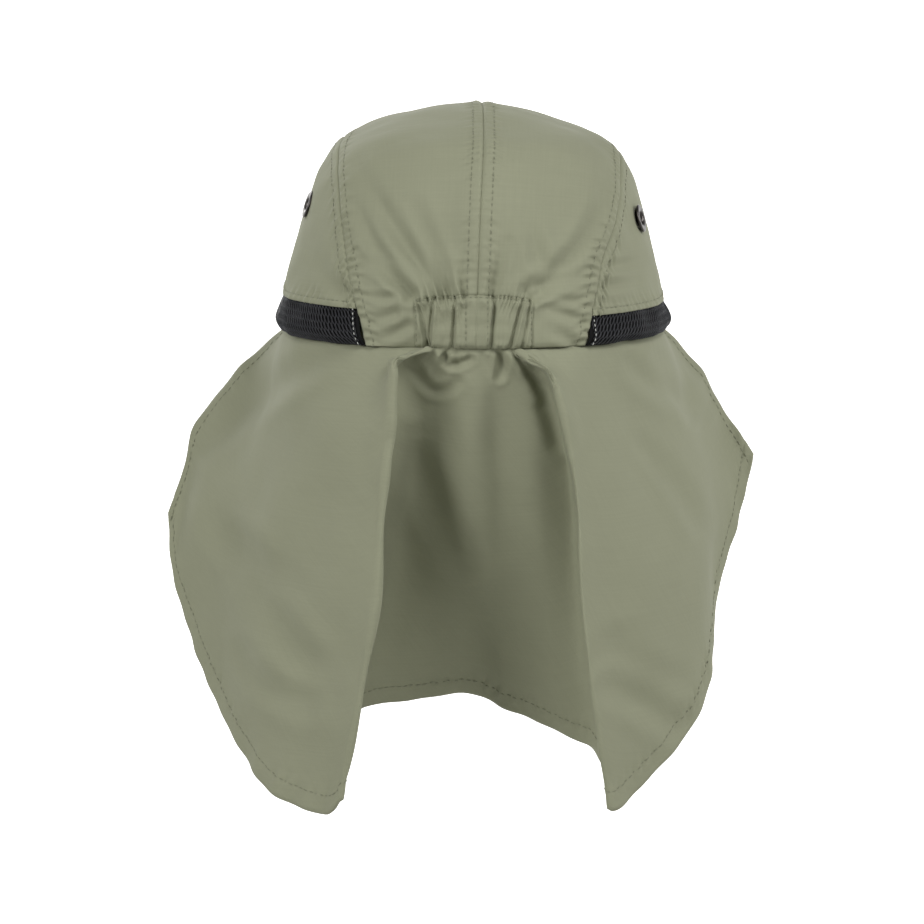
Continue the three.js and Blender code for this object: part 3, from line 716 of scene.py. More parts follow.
def line_on(face, normals, key, wanted):
    """The line on a grid where a key, which grows or falls along each row, has one value."""
    picked = []
    for points, sides, keys in zip(face, normals, key):
        order = slice(None) if keys[-1] > keys[0] else slice(None, None, -1)
        if min(keys) <= wanted <= max(keys):
            both = np.concatenate([points, sides], 1)[order]
            picked.append([np.interp(wanted, keys[order], both[:, k]) for k in range(6)])
    picked = np.array(picked)
    return picked[:, :3], unit(picked[:, 3:])


rows = []
for word in ("left", "right"):
    face, outward, to_middle, to_seam = crown_faces[f"crown_{word}_centre"]
    for key in (to_middle, to_seam):
        points, normals = line_on(face, outward, key, SEAM_ROW)
        kept = (points[:, 2] > CASING_HEIGHT + 0.6) | (np.abs(points[:, 0]) > 20) | (points[:, 1] < 0)
        rows.append((points[kept], normals[kept]))
    face, outward, to_seam, to_edge = crown_faces[f"crown_{word}_side"]
    rows.append(line_on(face[8:-8], outward[8:-8], to_seam[8:-8], SEAM_ROW))
    rows.append(line_on(face[4:-4], outward[4:-4], to_edge[4:-4], HEM_ROW))
sew("crown_topstitching", rows)

# Elastic casing: the middle of the back of the crown, doubled to hold a flat elastic. A row of
# stitches along its top and one down each side close it, and the elastic draws its cloth into
# upright pleats and many small gathers.
# Columns: across at the top and at the bottom as shares of its half width, depth and half
# width in millimetres, and the side where the cloth stands up beside the pleat.
PLEATS = [
    (0.69, 0.78, 1.9, 0.9, -1),
    (0.80, 0.82, 1.2, 2.0, 0),
    (0.31, 0.36, 1.8, 0.8, -1),
    (-0.365, -0.29, 2.2, 0.9, 1),
    (-0.825, -0.63, 1.9, 0.8, -1),
    (0.95, 0.79, 1.3, 0.8, 1),
    (-0.955, -0.825, 1.0, 0.8, -1),
    (-0.65, -0.62, 0.4, 1.5, 0),
    (0.49, 0.50, 0.35, 1.5, 0),
]
CASING_THICK = 1.6


def place_at(x, height):
    """The place on the disc of a point at the back of the crown, by its x and height."""
    radius = radius_at_height(height)
    shares = spline(SECTIONS, (1 - radius) * (len(SECTIONS) - 1))
    half = CROWN_HALF_WIDTH * np.where(x > 0, shares[..., 1], shares[..., 2])
    turn = np.arcsin(signed_power(x / half, SECTION_SQUARENESS / 2))
    return radius * np.sin(turn), radius * np.cos(turn)


across = np.linspace(1.015, -1.015, 281)[:, None]
up = np.linspace(0, 1.02, 91)[None, :]
x = CASING_SHIFT + across * CASING_WIDTH / 2 + 0 * up
height = casing_top(x) * up
places = np.stack(place_at(x, height), -1)
points, outward = on_crown(places)
inside = ease(1.01, 0.86, np.abs(across)) * ease(1.02, 0.9, up) * ease(-0.02, 0.14, up)
relief = crown_creases(points) + 0.9 * inside
from_seam = x + MIDDLE_SHIFT
flat_seam = ease(4.6, 6.4, np.abs(from_seam))
for top, bottom, depth, width, stands in PLEATS:
    away = (across - (bottom + (top - bottom) * up)) * CASING_WIDTH / 2
    reach = 0.55 + 0.45 * ease(0.0, 0.2, up) * ease(1.02, 0.85, up)
    relief -= depth * reach * bell(away, width * (1.15 - 0.3 * up))
    relief += 0.45 * depth * reach * bell(away - stands * 1.9 * width, 1.1 * width) * abs(stands)
    relief -= 1.1 * bell(away, 1.1) * bell(height - 1.2, 1.6) * (depth > 0.85)
from_top = height - casing_top(x)
below = np.maximum(-from_top, 0)
leaning = x + GATHER_LEAN * np.sign(x) * below
relief += 0.85 * ripple(leaning, GATHER_PITCH, GATHER_SEED) * np.exp(-below / 3.4) * flat_seam
relief += 0.16 * ripple(x, 2.1, 37) * np.exp(-height / 2.2) * flat_seam
relief += 0.16 * swell(points, 6.0, 38) * inside
relief -= 0.35 * bell(from_seam, 0.5)
for row in (SEAM_ROW, -SEAM_ROW):
    relief -= 0.2 * bell(from_seam - row, 0.6)
relief -= 0.3 * bell(below - 0.4, 0.55)
for edge in (1.0, -1.0):
    relief -= 0.4 * bell((across - edge) * CASING_WIDTH / 2, 0.7)
relief -= 0.8 * bell(height, 0.7)
face = points + outward * relief[..., None]
piece = cloth_mesh("elastic_casing_cloth", face, outward, CASING_THICK, -x, height, nylon)
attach(piece, "root")
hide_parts("elastic_casing")

rows = []
for row in (SEAM_ROW - MIDDLE_SHIFT, -SEAM_ROW - MIDDLE_SHIFT):
    points, normals = line_on(face.swapaxes(0, 1), outward.swapaxes(0, 1), x.T, row)
    rows.append((points[6:-4], normals[6:-4]))
for side in (0.985, -0.985):
    edge = CASING_SHIFT + side * CASING_WIDTH / 2
    points, normals = line_on(face.swapaxes(0, 1), outward.swapaxes(0, 1), x.T, edge)
    rows.append((points[3:-3], normals[3:-3]))
rows.append(tuple(part[6:-6] for part in line_on(face, outward, from_top, -0.45)))
sew("casing_topstitching", rows, pitch=2.4, stitch=1.8, width=0.4, seed=5)

# Mesh bands: a black knitted spacer mesh low on each side, which lets air in. Its face is a
# net of tall slanting openings over a knitted ground, whose near-black colour is partly the
# backing's own black and partly painted shade in the depth of the mesh. It bulges most low
# down, just over the flap. Light thread tacks its rear end beside the seam.
BAND_BULGE = 3.0
BAND_INSET = 1.2
OPENING_WIDTH = 2.4
OPENING_HEIGHT = 6.4
NET_SLANT = math.radians(28)
STRAND = 0.42
NET_STRIP = 0.6
TACK_PLACE = 1.4

# Columns: height as a share of the band's, and how far it stands out as a share of its bulge.
BAND_PROFILE = np.array([
    (0.00, 0.35),
    (0.12, 0.85),
    (0.30, 1.05),
    (0.60, 0.62),
    (0.84, 0.15),
    (1.00, -0.1),
])


def knitted_polyester(name, face_colour, ground_colour, rough):
    """Knitted polyester filament, dyed black: dark grey where the light grazes its rounded
    strands, with loops 0.7 mm apart that give a fine broken grain."""
    material, tree, place = new_finish(name)
    loops = add_node(tree, "ShaderNodeTexVoronoi", Vector=place, Scale=1 / (0.7 * MM)).outputs["Distance"]
    raised = bumped(tree, loops, 0.5, 0.15)
    raised.node.invert = True
    colour = blend(tree, loops, face_colour, ground_colour)
    surfaced(tree, Base_Color=colour, Roughness=rough, Normal=raised, IOR=1.4)
    return material


net_black = knitted_polyester("knitted_polyester_black", "#35363a", "#242528", 0.5)
# The ground's colours are set near black, far below the net's same yarn: painted shade in the openings of
# the mesh.
ground_black_painted_shade = knitted_polyester("knitted_polyester_ground", "#060607", "#030304", 0.95)

netting = bpy.data.node_groups.new("knitted_net", "GeometryNodeTree")
netting_inputs = {
    "strands": tree_input(netting, "Strands", "NodeSocketGeometry"),
    "thickness": tree_input(netting, "Thickness", "NodeSocketFloat", STRAND * MM),
    "finish": tree_input(netting, "Finish", "NodeSocketMaterial"),
}
netting.interface.new_socket(name="Net", in_out="OUTPUT", socket_type="NodeSocketGeometry")
given = netting.nodes.new("NodeGroupInput").outputs
path = add_node(netting, "GeometryNodeMeshToCurve", Mesh=given["Strands"]).outputs[0]
half = maths(netting, "MULTIPLY", given["Thickness"], 0.5)
section = add_node(netting, "GeometryNodeCurvePrimitiveCircle", Resolution=5, Radius=half).outputs[0]
made = add_node(
    netting, "GeometryNodeCurveToMesh", Curve=path, Profile_Curve=section, Fill_Caps=True,
).outputs[0]
close_tree(netting, made, given["Finish"])

for side, word in SIDES:
    band_height = BAND_HEIGHTS[word]
    top_radius = radius_at_height(band_height)
    start, end = side_span(side, top_radius)
    step = 1 if side < 0 else -1
    columns = []
    sides_out = []
    for share in np.linspace(0, 1, 29):
        height = share * (band_height + 0.6)
        out = spline(BAND_PROFILE, np.interp(share, BAND_PROFILE[:, 0], np.arange(6)))[1]
        radius = radius_at_height(min(height, band_height))
        rise = (1 - radius) / (1 - top_radius)
        rear = seam_place(side, rise * start, SEAM_GAP / 2)
        front = seam_place(side, 1 + (end - 1) * rise, SEAM_GAP / 2)
        place = arc_place(rear, front, np.linspace(0, 1, 201), radius)
        level = crown_normal(place[:, 0], place[:, 1])
        level[:, 2] = 0
        column = crown(place[:, 0], place[:, 1]) + unit(level) * out * BAND_BULGE
        column[:, 2] = height
        columns.append(column)
        sides_out.append(unit(level))
    face = np.stack(columns, 1)[:, ::step]
    level = np.stack(sides_out, 1)[:, ::step]
    outward = grid_normals(face)
    run = running_length(face, 0)
    climb = running_length(face, 1)
    climb = climb if side < 0 else climb[:, -1:] - climb
    dimples = 0.25 * swell(face, 18.0, 41 + side)
    face = face + outward * dimples[..., None]
    piece = cloth_mesh(
        f"mesh_band_{word}_ground", face - level * BAND_INSET, level, 1.4, run, climb, ground_black_painted_shade,
    )
    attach(piece, "root")
    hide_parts(f"mesh_band_{word}")

    level_face = face[:, ::step]
    level_out = outward[:, ::step]
    length = run.mean(1)[-1]
    tall = climb.max()
    both = np.concatenate([level_face, level_out], -1)
    ups = np.linspace(0.0, 0.95 * tall, 33)
    loop = np.sin(ups * (2 * math.pi / OPENING_HEIGHT))
    loop = signed_power(loop, 0.7) * (OPENING_WIDTH / 4 - STRAND * 0.3)
    strands = []
    edges = []
    count = 0
    for k in range(int((length + tall) / (OPENING_WIDTH / 2))):
        along = k * OPENING_WIDTH / 2 - tall * math.tan(NET_SLANT) + ups * math.tan(NET_SLANT)
        along += loop * (1 if k % 2 else -1)
        inside = (along > NET_STRIP) & (along < length - NET_STRIP)
        if inside.sum() < 3:
            continue
        row = along[inside] / length * (len(both) - 1)
        column = ups[inside] / tall * (both.shape[1] - 1)
        i, j = (np.minimum(np.floor(v).astype(int), n - 2) for v, n in zip((row, column), both.shape))
        f, g = (row - i)[:, None], (column - j)[:, None]
        at = both[i, j] * (1 - f) * (1 - g) + both[i + 1, j] * f * (1 - g)
        at += both[i, j + 1] * (1 - f) * g + both[i + 1, j + 1] * f * g
        strands.append(at[:, :3] - unit(at[:, 3:]) * 0.2)
        edges += [(count + n, count + n + 1) for n in range(len(at) - 1)]
        count += len(at)
    carrier = carrier_mesh(f"mesh_band_{word}_net", np.concatenate(strands), edges, {})
    settings = {netting_inputs["finish"]: net_black}
    grown(f"mesh_band_{word}_net", carrier, netting, settings)

    tack = line_on(level_face.swapaxes(0, 1), level_out.swapaxes(0, 1), run.T[::step], TACK_PLACE)
    sew(
        f"mesh_band_{word}_tacking", [(tack[0][2:-2] + tack[1][2:-2] * 0.2, tack[1][2:-2])],
        finish=grey_thread, pitch=2.0, stitch=1.5, width=0.5, seed=7,
    )

# Eyelets: one pressed brass eyelet high in each side panel, with a dark gunmetal finish. Its
# barrel goes through the cloth and is rolled over outside, with a washer inside.
EYELET_PROFILE = [
    (2.6, -3.6), (2.75, -3.85), (5.5, -3.8), (5.75, -3.6), (5.75, -3.1), (5.5, -2.85),
    (3.7, -2.8), (3.6, -2.6), (3.6, 0.1), (3.8, 0.3), (5.6, 0.35), (6.1, 0.5), (6.2, 0.8),
    (6.0, 1.15), (5.5, 1.38), (4.7, 1.42), (3.9, 1.3), (3.2, 1.0), (2.8, 0.6), (2.6, 0.1),
]

# Plated brass, darkened and polished: brownish grey, with clear but softened highlights and
# fine rubbed marks that follow no direction.
gunmetal, tree, place = new_finish("gunmetal_plated_brass")
rubbed = add_node(tree, "ShaderNodeTexNoise", Vector=place, Scale=1 / (1.4 * MM), Detail=4.0).outputs["Fac"]
rough = add_node(tree, "ShaderNodeMapRange", Value=rubbed, To_Min=0.22, To_Max=0.42).outputs[0]
surfaced(tree, Base_Color=blend(tree, rubbed, "#3f3c3b", "#5d5957"), Roughness=rough, Metallic=1.0)

for side, word in SIDES:
    middle, axis = eyelet_place(side, word)
    flat_way = unit(np.cross(axis, np.array([0.0, 0.0, 1.0])))
    third = np.cross(axis, flat_way)
    sides = 48
    angle = np.arange(sides) * (2 * math.pi / sides)
    ring = np.cos(angle)[:, None] * flat_way + np.sin(angle)[:, None] * third
    points = np.concatenate([middle + ring * r + axis * h for r, h in EYELET_PROFILE])
    count = len(EYELET_PROFILE)
    faces = []
    for k in range(count):
        for j in range(sides):
            after = (j + 1) % sides
            upper = (k + 1) % count * sides
            faces.append((k * sides + j, k * sides + after, upper + after, upper + j))
    piece = mesh_piece(f"eyelet_{word}_ring", points, faces, gunmetal, turn_out=True)
    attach(piece, "root")
    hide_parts(f"eyelet_{word}")

# Neck flap: one wide sheet of the same nylon, sewn on inside the rim from one side of the peak
# round the back to the other. It is cut much wider at the hem than at the rim, so that it
# hangs in two broad folds beside a deep middle one. Its free edges are turned and hemmed.
FLAP_LENGTH = 205.0
FLAP_SPREAD = CROWN_HALF_WIDTH + 53.0
FLAP_REACH = CROWN_HALF_LENGTH + 25.0
FLAP_CLOTH = 0.9
HEM_WIDTH = 9.0
FLAP_INSET = 2.2
STATIONS = np.array([0.0, 0.25, 0.6, 1.0])
LEAST_FALL = 0.2
SPRING_SHARE = 0.09

# Folds from the wearer's left edge round the back to the right edge. Columns: the fold's
# place on the rim in degrees from the back, spring (under 1 where the cloth springs out fast),
# length as a share of the flap's, and across and back at the upper, middle and hem stations.
FOLDS = np.array([
    (112, 1.00, 0.560, 0.728, -0.290, 0.905, -0.220, 1.010, -0.110),
    (98, 1.00, 0.690, 0.708, -0.090, 0.878, 0.000, 0.960, 0.040),
    (80, 1.00, 0.810, 0.665, 0.200, 0.780, 0.250, 0.845, 0.290),
    (62, 1.00, 0.900, 0.585, 0.460, 0.675, 0.510, 0.735, 0.540),
    (46, 1.00, 0.960, 0.485, 0.655, 0.545, 0.720, 0.645, 0.720),
    (28, 0.90, 0.995, 0.365, 0.820, 0.400, 0.900, 0.525, 0.860),
    (11, 0.18, 1.010, 0.255, 0.900, 0.303, 0.985, 0.405, 1.010),
    (9.5, 0.20, 0.980, 0.285, 0.800, 0.345, 0.770, 0.475, 0.755),
    (6.5, 0.60, 0.870, 0.180, 0.670, 0.250, 0.490, 0.385, 0.410),
    (0.5, 1.00, 0.875, 0.030, 0.720, 0.035, 0.540, 0.055, 0.230),
    (-3.5, 1.00, 0.870, -0.070, 0.690, -0.085, 0.540, -0.100, 0.310),
    (-6, 0.80, 0.888, -0.165, 0.710, -0.210, 0.570, -0.250, 0.410),
    (-8, 0.60, 0.945, -0.268, 0.690, -0.325, 0.590, -0.385, 0.530),
    (-9.2, 0.55, 1.000, -0.288, 0.800, -0.350, 0.770, -0.450, 0.755),
    (-10.2, 0.60, 1.015, -0.283, 0.900, -0.322, 0.985, -0.405, 1.000),
    (-26, 0.90, 0.940, -0.350, 0.820, -0.410, 0.900, -0.515, 0.880),
    (-42, 1.00, 0.850, -0.460, 0.655, -0.545, 0.740, -0.652, 0.705),
    (-58, 1.00, 0.750, -0.565, 0.475, -0.660, 0.540, -0.740, 0.525),
    (-78, 1.00, 0.625, -0.650, 0.200, -0.745, 0.240, -0.765, 0.270),
    (-98, 1.00, 0.490, -0.670, -0.090, -0.780, -0.030, -0.850, 0.010),
    (-112, 1.00, 0.410, -0.674, -0.290, -0.790, -0.250, -0.920, -0.150),
])

# Folds that lie over themselves below the casing. Columns as in the crown's creases, with up
# as shares of the flap's length, then how far the folded side stands out, how far back it
# slopes to the cloth and which side that is, all in millimetres.
FLAP_TUCKS = [
    (0.215, 0.00, 0.250, -0.022, 0.315, -0.036, 0.9, 7.0, 1),
    (-0.185, 0.00, -0.290, -0.062, -0.375, -0.082, 1.1, 7.0, -1),
]

# Small creases of the flap, in the form of the crown's, with up as shares of its length.
FLAP_CREASES = [
    (0.270, -0.012, 0.325, -0.051, 0.310, -0.124, 1.8, 4.0),
    (0.290, -0.050, 0.200, -0.092, 0.090, -0.074, 1.6, 2.2),
    (0.070, 0.000, 0.145, -0.006, 0.150, -0.020, 1.6, 1.4),
    (0.150, -0.020, 0.110, -0.036, 0.030, -0.024, 1.9, 1.6),
    (-0.085, 0.004, -0.125, -0.012, -0.115, -0.060, 2.6, 1.9),
    (-0.135, 0.000, -0.215, -0.051, -0.294, -0.108, -1.8, 2.6),
    (-0.270, -0.060, -0.340, -0.110, -0.400, -0.200, 2.2, 3.8),
    (0.330, -0.200, 0.250, -0.300, 0.060, -0.480, 2.4, 6.5),
    (-0.020, -0.100, -0.030, -0.300, -0.080, -0.500, -1.4, 9.0),
    (-0.55, -0.10, -0.50, -0.20, -0.52, -0.34, 0.7, 8.0),
    (0.70, -0.02, 1.04, -0.13, 1.42, -0.29, 1.7, 4.5),
    (1.34, -0.46, 1.12, -0.47, 0.90, -0.52, 1.3, 6.0),
    (1.30, -0.42, 1.02, -0.58, 0.80, -0.72, 2.0, 7.5),
    (1.16, -0.69, 1.05, -0.73, 0.86, -0.755, 1.9, 5.5),
    (0.95, -0.60, 0.86, -0.64, 0.74, -0.66, 1.4, 6.0),
    (-0.76, -0.05, -0.98, -0.13, -1.20, -0.20, 1.7, 3.6),
    (-0.90, -0.05, -1.02, -0.12, -1.10, -0.20, 1.1, 3.0),
    (-0.83, -0.22, -1.00, -0.31, -1.15, -0.42, 1.3, 3.6),
    (-0.67, -0.70, -0.84, -0.75, -1.00, -0.81, 2.9, 5.0),
    (-0.70, -0.61, -0.80, -0.68, -0.96, -0.72, 1.6, 6.0),
]


def rim_place(degrees, inset):
    """Points of the rim, moved in from the crown's outer face."""
    turn = np.radians(degrees)
    level = crown_normal(np.sin(turn), np.cos(turn))
    level[..., 2] = 0
    return crown(np.sin(turn), np.cos(turn)) - unit(level) * inset


columns = (len(FOLDS) - 1) * 14
rows_down = 150
bunched = 1.25
fold = spline(FOLDS, np.linspace(len(FOLDS) - 1, 0, columns + 1))
share = np.linspace(0, 1, rows_down + 1)[None, :] ** bunched
spring = fold[:, 1:2]
length = fold[:, 2:3] * FLAP_LENGTH
top = rim_place(fold[:, 0], FLAP_INSET)
size = np.array([FLAP_SPREAD, FLAP_REACH])
plan = np.stack([top[:, :2], fold[:, 3:5] * size, fold[:, 5:7] * size, fold[:, 7:9] * size], 1)
slopes = np.stack([
    (plan[:, min(k + 1, 3)] - plan[:, max(k - 1, 0)]) / (STATIONS[min(k + 1, 3)] - STATIONS[max(k - 1, 0)])
    for k in range(4)
], 1)
near = np.maximum(share, SPRING_SHARE)
eased = np.where(near < STATIONS[1], STATIONS[1] * (near / STATIONS[1]) ** spring, near)
eased = np.where(share < SPRING_SHARE, eased * share / SPRING_SHARE, eased)
k = (eased >= STATIONS[1]).astype(int) + (eased >= STATIONS[2])
span = (STATIONS[k + 1] - STATIONS[k])[..., None]
t = (eased[..., None] - STATIONS[k][..., None]) / span
column = np.arange(columns + 1)[:, None]
flat_place = (
    (2 * t**3 - 3 * t**2 + 1) * plan[column, k] + (t**3 - 2 * t**2 + t) * span * slopes[column, k]
    + (3 * t**2 - 2 * t**3) * plan[column, k + 1] + (t**3 - t**2) * span * slopes[column, k + 1]
)
cloth = length * np.diff(share)
level = np.linalg.norm(np.diff(flat_place, axis=1), axis=-1)
fall = np.sqrt(np.maximum(cloth**2 - level**2, (LEAST_FALL * cloth) ** 2))
drop = np.concatenate([np.zeros((columns + 1, 1)), np.cumsum(fall, 1)], 1)
points = np.concatenate([flat_place, (-0.3 - drop)[..., None]], -1)

outward = grid_normals(points)
for _ in range(2):
    outward[1:-1, 1:-1] += outward[:-2, 1:-1] + outward[2:, 1:-1] + outward[1:-1, :-2] + outward[1:-1, 2:]
    outward = unit(outward)
to_hem = (1 - share) * length
width_run = running_length(points, 0)
to_side = np.minimum(width_run, width_run[-1:] - width_run)
down = share * length
hem_run = width_run[:, -1:]
from_back = np.abs(fold[:, 0:1])
relief = 1.1 + 0.8 * swell(points, 60.0, 51) * ease(0.0, 45.0, down) + 0.12 * swell(points, 24.0, 52)
near_side = ease(-0.2, 0.3, outward[..., 1])
for crease in FLAP_CREASES:
    depth, width = crease[6:]
    line, reached = crease_line(crease, (CROWN_HALF_WIDTH, FLAP_LENGTH), 48)
    away = np.linalg.norm(points[..., None, [0, 2]] - line, axis=-1)
    fade = np.sin(np.clip(reached[away.argmin(-1)] * 0.6 + 0.2, 0, 1) * math.pi)
    relief += depth * fade * dent(away.min(-1), width, 0.4) * near_side
for tuck in FLAP_TUCKS:
    stand, slope, way = tuck[6:]
    line, reached = crease_line(tuck, (CROWN_HALF_WIDTH, FLAP_LENGTH), 40)
    ahead = np.gradient(line, axis=0)
    away = points[..., None, [0, 2]] - line
    nearest = np.linalg.norm(away, axis=-1).argmin(-1)
    away = np.take_along_axis(away, nearest[..., None, None], 2)[..., 0, :]
    along = ahead[nearest]
    signed = way * np.sign(along[..., 0] * away[..., 1] - along[..., 1] * away[..., 0])
    signed = signed * np.linalg.norm(away, axis=-1)
    fade = ease(1.0, 0.55, reached[nearest]) * near_side
    stands = ease(-0.9, 0.9, signed) * np.exp(-np.maximum(signed, 0) / slope)
    relief += stand * fade * (stands - 0.35 * bell(signed + 1.6, 1.6)) * np.exp(-np.abs(signed) / 12.0)
gathered = ease(20.0, 12.0, from_back)
relief += (0.12 + 0.4 * gathered) * ripple(width_run[:, :1] + 0.1 * down, 4.6, 55) * np.exp(-down / 7.0)
ruffle = 1.1 * np.sin(down * (2 * math.pi / 36.0) + 1.1) + 0.3 * np.sin(down * (2 * math.pi / 19.0) + 2.0)
relief += ruffle * np.exp(-to_side / 16.0) * ease(4.0, 40.0, down) * ease(140.0, 80.0, down)
puckers = ripple(hem_run + 0.25 * to_hem, 6.5, 57)
side_puckers = ripple(down + 0.25 * to_side, 6.5, 58)
hem = ease(HEM_WIDTH + 0.8, HEM_WIDTH - 0.6, np.minimum(to_hem, to_side + 2.0))
relief += 0.3 * hem + 0.36 * puckers * bell(to_hem - HEM_WIDTH + 1, 3.8)
relief += 0.18 * side_puckers * bell(to_side - HEM_WIDTH + 3, 3.5)
relief -= 0.3 * bell(to_hem - HEM_WIDTH + 1.0, 0.8) + 0.3 * bell(to_side - HEM_WIDTH + 3.0, 0.8)
relief += 0.25 * ripple(hem_run, 24.0, 59) * np.exp(-to_hem / 12.0)
relief *= ease(0.0, 3.0, down)
face = points + outward * relief[..., None]
thick = FLAP_CLOTH + 0.8 * hem * ease(0.0, 3.0, down)
flap = cloth_mesh(
    "neck_flap_cloth", face, outward, thick, width_run[:, -1:] * (0.53 + 0.47 * share), down, nylon,
)
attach(flap, "root")
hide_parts("neck_flap")

rows = []
for side in (1, -1):
    skin = face if side > 0 else face - outward * thick[..., None]
    rows.append(line_on(skin[3:-3], outward[3:-3] * side, to_hem[3:-3], HEM_WIDTH - 1.0))
    for half in (slice(0, columns // 2), slice(columns // 2, None)):
        line = line_on(
            skin[half].swapaxes(0, 1)[4:-4], side * outward[half].swapaxes(0, 1)[4:-4],
            to_side[half].T[4:-4], HEM_WIDTH - 3.0,
        )
        rows.append(line)
stitches = sew("neck_flap_hem_stitching", rows, pitch=3.2, stitch=2.5, width=0.45, seed=9)

# Rim tape: a ring of the same nylon inside the rim that covers the seam between the crown,
# the bands and the flap, and closes the view through it.
TAPE_INSET = 4.3
TAPE_LOW = -1.6
TAPE_HIGH = 11.0

degrees = np.linspace(0.4, 359.6, 361)
heights = np.linspace(TAPE_LOW, TAPE_HIGH, 9)
radii = radius_at_height(np.maximum(heights, 0))
turn = np.radians(degrees)[:, None]
rim = rim_place(degrees, TAPE_INSET)[:, None]
leaning = crown(radii * np.sin(turn), radii * np.cos(turn)) - crown(np.sin(turn), np.cos(turn))
face = rim + leaning * (1.0, 1.0, 0.0)
face[..., 2] = heights
outward = rim_place(degrees, 0) - rim_place(degrees, 1)
outward = np.repeat(unit(outward)[:, None], len(heights), 1)
piece = cloth_mesh(
    "rim_seam_tape", face[::-1], outward[::-1], 0.8, running_length(face, 0)[::-1], face[::-1, :, 2], nylon,
)
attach(piece, "root")

# Peak: a stiff curved board between two layers of the same nylon, sewn on under the front of
# the rim. Rows of stitches follow its front edge, and a folded binding covers that edge.
PEAK_LENGTH = 70.0
PEAK_WIDEN = 10.0
PEAK_THICKNESS = 3.0
PEAK_SLOPE = 14.0
PEAK_ARCH = 24.0
PEAK_HALF_ANGLE = 54.0
PEAK_INSET = 3.0
PEAK_ROW_PITCH = 9.0

side = np.sin(np.linspace(math.pi / 2, -math.pi / 2, 241))[:, None]
out = np.linspace(0, 1, 81)[None, :]
root = rim_place(180 - side[:, 0] * PEAK_HALF_ANGLE, PEAK_INSET)[:, None]
fullness = np.sqrt(np.maximum(1 - side**4, 0)) * out
points = np.stack([
    root[..., 0] + side * PEAK_WIDEN * fullness,
    root[..., 1] - PEAK_LENGTH * fullness,
    -0.3 - (PEAK_SLOPE + PEAK_ARCH * side**2) * fullness,
], -1)
outward = grid_normals(points)
outward[[0, -1]] = outward[[1, -2]]
edge = points[:, -1]
to_front = np.stack([
    np.linalg.norm(points[:, k, None] - edge[None], axis=-1).min(1) for k in range(points.shape[1])
], 1)
relief = 0.12 * swell(points, 30.0, 61) + 0.05 * swell(points, 9.0, 62)
row_places = [5.5 + PEAK_ROW_PITCH * k for k in range(6)]
edge_run = running_length(points, 0)
for k, place in enumerate(row_places):
    relief -= 0.28 * bell(to_front - place, 0.8)
    relief += 0.06 * ripple(edge_run, 6.0, 63 + k) * bell(to_front - place, 2.5)
face = points + outward * relief[..., None]
piece = cloth_mesh(
    "peak_cloth_board", face, outward, PEAK_THICKNESS + 2 * np.minimum(relief, 0),
    points[..., 0], points[..., 1], nylon,
)
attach(piece, "root")
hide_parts("peak")

rows = []
for place in row_places:
    for skin, facing in ((face, outward), (points - outward * PEAK_THICKNESS, -outward)):
        line = line_on(skin[2:-2], facing[2:-2], to_front[2:-2], place)
        rows.append(line)
sew("peak_stitching", rows, pitch=3.2, stitch=2.5, width=0.45, seed=11)

BINDING_WIDTH = 5.5
BINDING_STAND = 0.45
path = (points[:, -1] - outward[:, -1] * PEAK_THICKNESS / 2)[1:-1]
ahead = unit(np.gradient(path, axis=0))
upward = unit(outward[1:-1, -1] - ahead * (outward[1:-1, -1] * ahead).sum(-1, keepdims=True))
front = np.cross(upward, ahead)
front *= np.sign((front * (path - path.mean(0))).sum(-1, keepdims=True))
around = np.linspace(0, 2 * math.pi, 29)[:-1]
half_thick = PEAK_THICKNESS / 2 + BINDING_STAND
reach = np.where(np.cos(around) > 0, 1.3, BINDING_WIDTH)
section = np.stack([
    signed_power(np.cos(around), 0.45) * reach,
    signed_power(np.sin(around), 0.45) * half_thick,
], -1)
tube = path[:, None] + front[:, None] * section[None, :, :1] + upward[:, None] * section[None, :, 1:]
rings, sides = tube.shape[:2]
corner = np.arange(rings * sides).reshape(rings, sides)
after = np.roll(corner, -1, 1)
faces = np.stack([corner[:-1], after[:-1], after[1:], corner[1:]], -1).reshape(-1, 4).tolist()
faces += [corner[0, ::-1].tolist(), corner[-1].tolist()]
run = running_length(path, 0)
flat = np.stack([np.repeat(run, sides), np.tile(np.arange(sides) * 0.6, rings)], -1) / 100
piece = mesh_piece("peak_edge_binding", tube.reshape(-1, 3), faces, nylon, flat, turn_out=True)
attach(piece, "root")

# Studio: a pale floor well below the cap, which is held in the air, a white backdrop lit from
# behind like a light box, a dim even room and soft lights from the camera's side and the front.
FLOOR_HEIGHT = -1.1
BACKDROP_BACK = -2.6
BACKDROP_REACH = 5.0
BACKDROP_TOP = 1.6


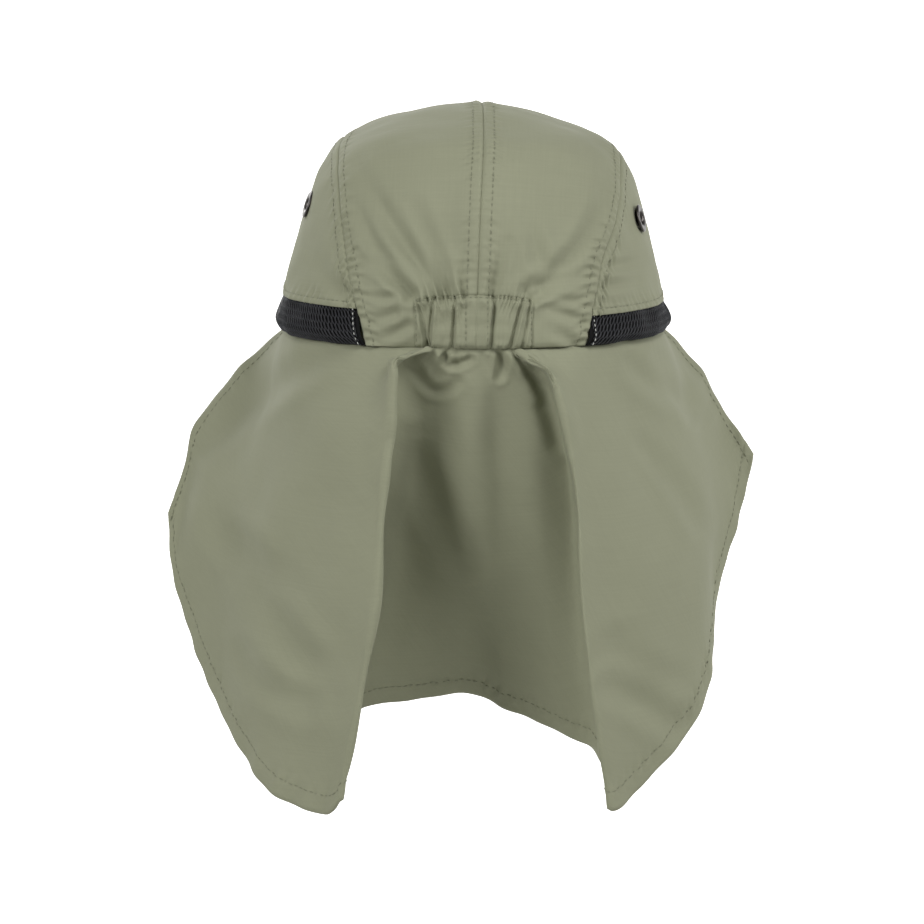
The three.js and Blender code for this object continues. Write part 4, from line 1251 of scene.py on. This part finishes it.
def stage_sheet(name, corners, colour, glow):
    mesh = bpy.data.meshes.new(name)
    mesh.from_pydata(corners, [], [(0, 1, 2, 3)])
    material = bpy.data.materials.new(name)
    material.use_nodes = True
    shader = material.node_tree.nodes["Principled BSDF"]
    shader.inputs["Base Color"].default_value = srgb(colour)
    shader.inputs["Roughness"].default_value = 0.95
    shader.inputs["Emission Color"].default_value = srgb("#ffffff")
    shader.inputs["Emission Strength"].default_value = glow
    mesh.materials.append(material)
    sheet = add_object(name, mesh)


reach = BACKDROP_REACH
stage_sheet(
    "studio_floor",
    [
        (-reach, BACKDROP_BACK, FLOOR_HEIGHT),
        (reach, BACKDROP_BACK, FLOOR_HEIGHT),
        (reach, reach, FLOOR_HEIGHT),
        (-reach, reach, FLOOR_HEIGHT),
    ],
    "#dcdcd8", 0.0,
)
stage_sheet(
    "white_backdrop",
    [
        (-reach, BACKDROP_BACK, FLOOR_HEIGHT),
        (-reach, BACKDROP_BACK, BACKDROP_TOP),
        (reach, BACKDROP_BACK, BACKDROP_TOP),
        (reach, BACKDROP_BACK, FLOOR_HEIGHT),
    ],
    "#f4f4f1", 1.0,
)

world = bpy.data.worlds.new("even_room")
world.use_nodes = True
world.node_tree.nodes["Background"].inputs["Color"].default_value = (1.0, 1.0, 1.0, 1.0)
world.node_tree.nodes["Background"].inputs["Strength"].default_value = 0.21
bpy.context.scene.world = world

for name, place, size, power in (
    ("soft_left", (1.35, 1.35, 0.7), 0.8, 23.0),
    ("soft_right", (-0.8, 1.3, 1.4), 0.8, 18.0),
    ("soft_right_side", (-1.85, 0.5, 0.6), 0.8, 16.0),
    ("soft_front", (0.9, -1.7, 1.0), 1.0, 14.0),
):
    light = bpy.data.lights.new(name, "AREA")
    light.size = size
    light.energy = power
    lamp = add_object(name, light)
    lamp.location = place
    aim = Vector((0.0, 0.0, -0.05)) - Vector(place)
    lamp.rotation_euler = aim.to_track_quat("-Z", "Y").to_euler()

# The view transform is plain, so that the white and the cloth keep their own values.
bpy.context.scene.view_settings.view_transform = "Standard"
